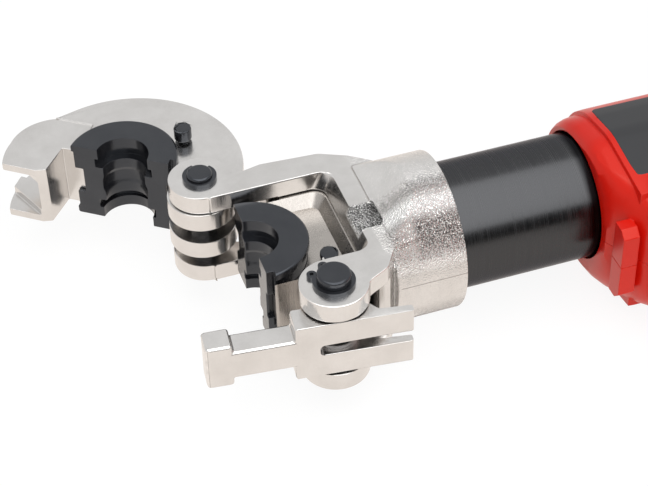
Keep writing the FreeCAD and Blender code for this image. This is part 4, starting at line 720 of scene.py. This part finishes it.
FINISHES = {
    "nickel": plated_metal("nickel_plate", NICKEL, PLATE_GLOSS),
    "dark_steel": blackened_steel(),
    "spring_steel": worn_metal(
        "spring_steel",
        colour=(0.45, 0.45, 0.46),
        edge_colour=(0.6, 0.6, 0.6),
        roughness=0.28,
        grain=900.0,
        height=0.02 * MM,
        radius=0.2 * MM,
    ),
    "black_cylinder": black_tube(),
    "ram_steel": worn_metal(
        "ram_steel",
        colour=(0.70, 0.70, 0.71),
        edge_colour=(0.8, 0.8, 0.8),
        roughness=0.12,
        grain=500.0,
        height=0.01 * MM,
    ),
    "red_plastic": moulded_plastic(
        "red_plastic", colour=(0.72, 0.009, 0.003), roughness=0.30, sheen=WARM_SHEEN
    ),
    "panel_plastic": moulded_plastic(
        "panel_plastic", colour=(0.022, 0.023, 0.026), roughness=0.42
    ),
    "black_plastic": moulded_plastic(
        "black_plastic", colour=(0.022, 0.022, 0.024), roughness=0.45
    ),
    "soft_black": moulded_plastic(
        "soft_black",
        colour=(0.016, 0.016, 0.017),
        roughness=0.7,
        grain=2200.0,
        height=0.08 * MM,
    ),
    "pump_steel": worn_metal(
        "pump_steel",
        colour=(0.40, 0.40, 0.41),
        edge_colour=(0.6, 0.6, 0.6),
        roughness=0.35,
        grain=800.0,
        height=0.03 * MM,
    ),
    "gear_case": worn_metal(
        "gear_case",
        colour=(0.58, 0.58, 0.59),
        edge_colour=(0.75, 0.75, 0.75),
        roughness=0.4,
        grain=600.0,
        height=0.05 * MM,
    ),
    "motor_paint": moulded_plastic("motor_paint", colour=(0.05, 0.05, 0.055), roughness=0.35),
    "board_green": moulded_plastic("board_green", colour=(0.02, 0.16, 0.06), roughness=0.4),
    "cell_wrap": moulded_plastic("cell_wrap", colour=(0.05, 0.22, 0.34), roughness=0.3),
    "contact_brass": worn_metal(
        "contact_brass",
        colour=(0.78, 0.58, 0.26),
        edge_colour=(0.9, 0.75, 0.45),
        roughness=0.25,
        grain=900.0,
        height=0.02 * MM,
    ),
    "clear_lens": clear_lens(),
}

# The yoke shows its cast skin, with painted shade in its pits and a painted highlight, and the
# holder between its arms is rougher, its tints darkened as painted shade
OWN_FINISH = {
    "yoke": plated_metal("cast_nickel", NICKEL, PLATE_GLOSS, pebbled=True),
    "die_holder": plated_metal("holder_shaded_nickel", HOLDER_SHADE_NICKEL, DULL_GLOSS),
}

# How far each finished part's edges are rounded, in mm. At 0 they stay sharp, or get a step of
# their own
EDGE_WIDTHS = {
    "yoke": 0.8,
    "hook_jaw": 0.5,
    "latch_lever": 0.0,
    "die_holder": 0.0,
    "hook_pin": 0.3,
    "latch_pin": 0.3,
    "upper_die": 0.3,
    "lower_die": 0.3,
    "upper_die_button": 0.6,
    "lower_die_button": 0.4,
    "cylinder_tube": 0.4,
    "housing_upper": 0.25,
    "housing_lower": 0.25,
    "side_panel_upper": 0.4,
    "side_panel_lower": 0.4,
    "grip_pad": 0.4,
    "trigger": 0.9,
    "release_button": 0.4,
    "battery_case_inner": 0.5,
    "battery_case_outer": 0.5,
    "battery_key_upper": 0.4,
    "battery_key_lower": 0.4,
}


def dress_nodes():
    """Give every node the finish of its slot."""
    for name, obj in nodes.items():
        obj.data.materials.clear()
        obj.data.materials.append(FINISHES[SLOT_OF[name]])


def shifted(piece, chosen, shift):
    """Move the vertices that a test picks."""
    only(piece)
    bpy.ops.object.mode_set(mode="EDIT")
    bpy.ops.mesh.select_mode(type="VERT")
    bpy.ops.mesh.select_all(action="DESELECT")
    bpy.ops.object.mode_set(mode="OBJECT")
    for vertex in piece.data.vertices:
        vertex.select = chosen(vertex.co)
    bpy.ops.object.mode_set(mode="EDIT")
    bpy.ops.transform.translate(value=shift)
    bpy.ops.object.mode_set(mode="OBJECT")


def square_latch_head(piece):
    """Draw the latch head's far corner out until only a narrow chamfer is left."""
    along = Vector((math.cos(LATCH_LEAN), math.sin(LATCH_LEAN), 0.0))
    across = Vector((-along.y, along.x, 0.0))
    pin = Vector((*LATCH_PIN, 0.0))
    for corner, toward in ((HEAD_FAR_CORNER, along), (HEAD_SIDE_CORNER, -across)):
        spot = pin + (along * corner[0] + across * corner[1]) * MM
        shifted(piece, lambda co: (co.xy - spot.xy).length < HEAD_REACH, toward * HEAD_DRAW)


def round_long_edges(piece, chosen, width):
    """Round the long sharp edges that a test on their two ends picks."""
    only(piece)
    bpy.ops.object.mode_set(mode="EDIT")
    bpy.ops.mesh.select_mode(type="EDGE")
    bpy.ops.mesh.select_all(action="DESELECT")
    bpy.ops.mesh.edges_select_sharp(sharpness=LONG_EDGE_TURN)
    bpy.ops.object.mode_set(mode="OBJECT")
    mesh = piece.data
    for edge in mesh.edges:
        first, second = (mesh.vertices[index].co for index in edge.vertices)
        long_enough = (first - second).length > LONG_EDGE
        edge.select = edge.select and long_enough and chosen(first, second)
    bpy.ops.object.mode_set(mode="EDIT")
    bpy.ops.mesh.bevel(
        offset=width, segments=LATCH_SEGMENTS, affect="EDGES", clamp_overlap=False
    )
    bpy.ops.object.mode_set(mode="OBJECT")


def round_latch(piece):
    """Round the latch's outer edges: narrowly on the lever, widely on its head."""
    along = Vector((math.cos(LATCH_LEAN), math.sin(LATCH_LEAN)))
    pin = Vector(LATCH_PIN)

    def on_head(spot):
        """Whether a place is on the lever's head."""
        return (spot.xy - pin).dot(along) > LATCH_HEAD_FROM

    def by_hinge(spot):
        """Whether a place is one of the corners beside the hinge."""
        return any((spot.xy - Vector(corner)).length < MM for corner in HINGE_CORNERS)

    round_long_edges(
        piece, lambda one, two: on_head(one) and on_head(two), LATCH_HEAD_EDGE
    )
    round_long_edges(
        piece,
        lambda one, two: not (
            on_head(one) or on_head(two) or by_hinge(one) or by_hinge(two)
        ),
        LATCH_EDGE,
    )


def panel_to_band(piece):
    """Draw the panel's front edge up to the raised band, with square corners."""
    spots = {(round(v.co.x, 6), round(v.co.y, 6)) for v in piece.data.vertices}
    low, high = PANEL_SIDES[0] + PANEL_ROUND, PANEL_SIDES[1] - PANEL_ROUND
    for x, y in sorted(spots):
        middle_x = PANEL_FRONT - PANEL_ROUND
        middle_y = min(max(y, low), high)
        if x < middle_x:
            continue
        out = Vector((x - middle_x, y - middle_y))
        reach = max(abs(out.x), abs(out.y), PANEL_LEAST_REACH)
        grow = min(PANEL_ROUND / reach, PANEL_MOST_GROWTH) if out.y else 1.0
        shift_x = out.x * (grow - 1.0) + PANEL_DRAW * out.x / PANEL_ROUND
        shift_y = out.y * (grow - 1.0)
        fall = -PANEL_FALL * abs(shift_y)
        sign = 1.0 if piece.data.vertices[0].co.z > 0 else -1.0
        here = Vector((x, y))
        shifted(
            piece,
            lambda co: (co.xy - here).length < SAME_SPOT,
            Vector((shift_x, shift_y, sign * fall)),
        )


def raised(piece, lift):
    """Lift a piece off the middle plane by a hair."""
    sign = 1.0 if piece.data.vertices[0].co.z > 0 else -1.0
    shifted(piece, lambda co: True, Vector((0.0, 0.0, sign * lift)))


def finished_parts():
    """Every part that is seen or handled, with its edges rounded."""
    for node, width in EDGE_WIDTHS.items():
        piece = merged_copy(node)
        if node == "latch_lever":
            square_latch_head(piece)
            round_latch(piece)
        if node.startswith("side_panel"):
            panel_to_band(piece)
            raised(piece, PANEL_LIFT)
        rounded(piece, width * MM)
        finish = OWN_FINISH.get(node, FINISHES[SLOT_OF[node]])
        stands_for(piece, node, finish)


def camera():
    """The fitted viewpoint."""
    azimuth = math.radians(VIEW_AZIMUTH)
    elevation = math.radians(VIEW_ELEVATION)
    roll = math.radians(VIEW_ROLL)
    forward = -Vector(
        (
            math.cos(elevation) * math.cos(azimuth),
            math.cos(elevation) * math.sin(azimuth),
            math.sin(elevation),
        )
    )
    level = forward.cross(Vector((0, 0, 1))).normalized()
    tall = level.cross(forward)
    right = level * math.cos(roll) - tall * math.sin(roll)
    up = tall * math.cos(roll) + level * math.sin(roll)
    focal = LENS / SENSOR * PICTURE_W
    across = (ORIGIN_PIXEL[0] - PICTURE_W / 2) / focal * VIEW_DISTANCE
    above = (PICTURE_H / 2 - ORIGIN_PIXEL[1]) / focal * VIEW_DISTANCE
    place = -(forward * VIEW_DISTANCE + right * across + up * above)
    data = bpy.data.cameras.new("view")
    data.lens = LENS
    data.sensor_width = SENSOR
    data.clip_end = VIEW_END
    obj = bpy.data.objects.new("view", data)
    obj.matrix_world = Matrix.Translation(place) @ Matrix(
        (right, up, -forward)
    ).transposed().to_4x4()
    bpy.context.scene.collection.objects.link(obj)
    bpy.context.scene.camera = obj


def white_to_rays(tree, shaded, white, share=1.0):
    """White to the camera and to mirrors and glass, shaded for the rest of the light."""
    path = tree.nodes.new("ShaderNodeLightPath")
    rays = ("Is Camera Ray", "Is Transmission Ray", "Is Glossy Ray")
    seen = largest(tree, *[path.outputs[ray] for ray in rays])
    mix = tree.nodes.new("ShaderNodeMixShader")
    tree.links.new(product(tree, seen, share), mix.inputs[0])
    tree.links.new(shaded, mix.inputs[1])
    tree.links.new(white, mix.inputs[2])
    return mix.outputs[0]


def floor():
    """A plain white floor that keeps the object's shadow."""
    bpy.ops.mesh.primitive_plane_add(size=2 * FLOOR_HALF)
    ground = bpy.context.object
    ground.name = "floor"
    low = cad_box[0][2] - FLOOR_DROP
    ground.data.transform(Matrix.Translation((0, 0, low)))
    made, tree, shader = material("floor_white", FLOOR_GREY, 0.0, FLOOR_ROUGHNESS)
    shader.inputs["Specular IOR Level"].default_value = FLOOR_SHEEN
    white = tree.nodes.new("ShaderNodeEmission")
    path = tree.nodes.new("ShaderNodeLightPath")
    tint = colour_mix(tree, path.outputs["Is Glossy Ray"], WHITE, WARM_FLOOR)
    tree.links.new(tint, white.inputs["Color"])
    white.inputs["Strength"].default_value = FLOOR_GLOW
    both = white_to_rays(tree, shader.outputs[0], white.outputs[0], FLOOR_WHITE_SHARE)
    tree.links.new(both, tree.nodes["Material Output"].inputs["Surface"])
    ground.data.materials.append(made)


def lamp(name, place, size, power):
    """One soft rectangular lamp that shines at the origin."""
    data = bpy.data.lights.new(name, "AREA")
    data.shape = "RECTANGLE"
    data.size = size[0]
    data.size_y = size[1]
    data.energy = power
    obj = bpy.data.objects.new(name, data)
    turn = place.to_track_quat("Z", "Y").to_matrix().to_4x4()
    obj.matrix_world = Matrix.Translation(place) @ turn
    obj.visible_camera = False
    bpy.context.scene.collection.objects.link(obj)


def room_seen(tree):
    """What mirrors see of the room: white all round, with a dark corner low in front."""
    place = tree.nodes.new("ShaderNodeTexCoord").outputs["Generated"]
    split = tree.nodes.new("ShaderNodeSeparateXYZ")
    tree.links.new(place, split.inputs[0])
    height = arithmetic(tree, "ARCTAN2", split.outputs["Z"], split.outputs["Y"])
    low = ramp(tree, height, *CORNER_TOP, 1.0, 0.0)
    above = ramp(tree, height, *CORNER_FOOT)
    side = arithmetic(tree, "ABSOLUTE", split.outputs["X"], 0.0)
    middle = ramp(tree, side, *CORNER_SIDE, 1.0, 0.0)
    return ramp(tree, product(tree, low, above, middle), 0.0, 1.0, 1.0, CORNER_WHITE)


def studio():
    """Soft white light from one large panel overhead and from an even room."""
    world = bpy.data.worlds.new("studio")
    bpy.context.scene.world = world
    world.use_nodes = True
    tree = world.node_tree
    light = tree.nodes["Background"]
    feed(tree, light.inputs["Color"], WHITE)
    light.inputs["Strength"].default_value = ROOM_LIGHT
    white = tree.nodes.new("ShaderNodeBackground")
    path = tree.nodes.new("ShaderNodeLightPath")
    strength = ramp(tree, path.outputs["Is Glossy Ray"], 0.0, 1.0, 1.0, room_seen(tree))
    tree.links.new(strength, white.inputs["Strength"])
    out = tree.nodes["World Output"]
    both = white_to_rays(tree, light.outputs[0], white.outputs[0])
    tree.links.new(both, out.inputs["Surface"])
    reach = Vector((0.0, math.cos(PANEL_DIRECTION), math.sin(PANEL_DIRECTION)))
    lamp("softbox", reach * PANEL_AWAY, PANEL_SIZE, PANEL_POWER)
    bpy.context.scene.view_settings.view_transform = "Standard"


deselect()
camera()
dress_nodes()
finished_parts()
floor()
studio()
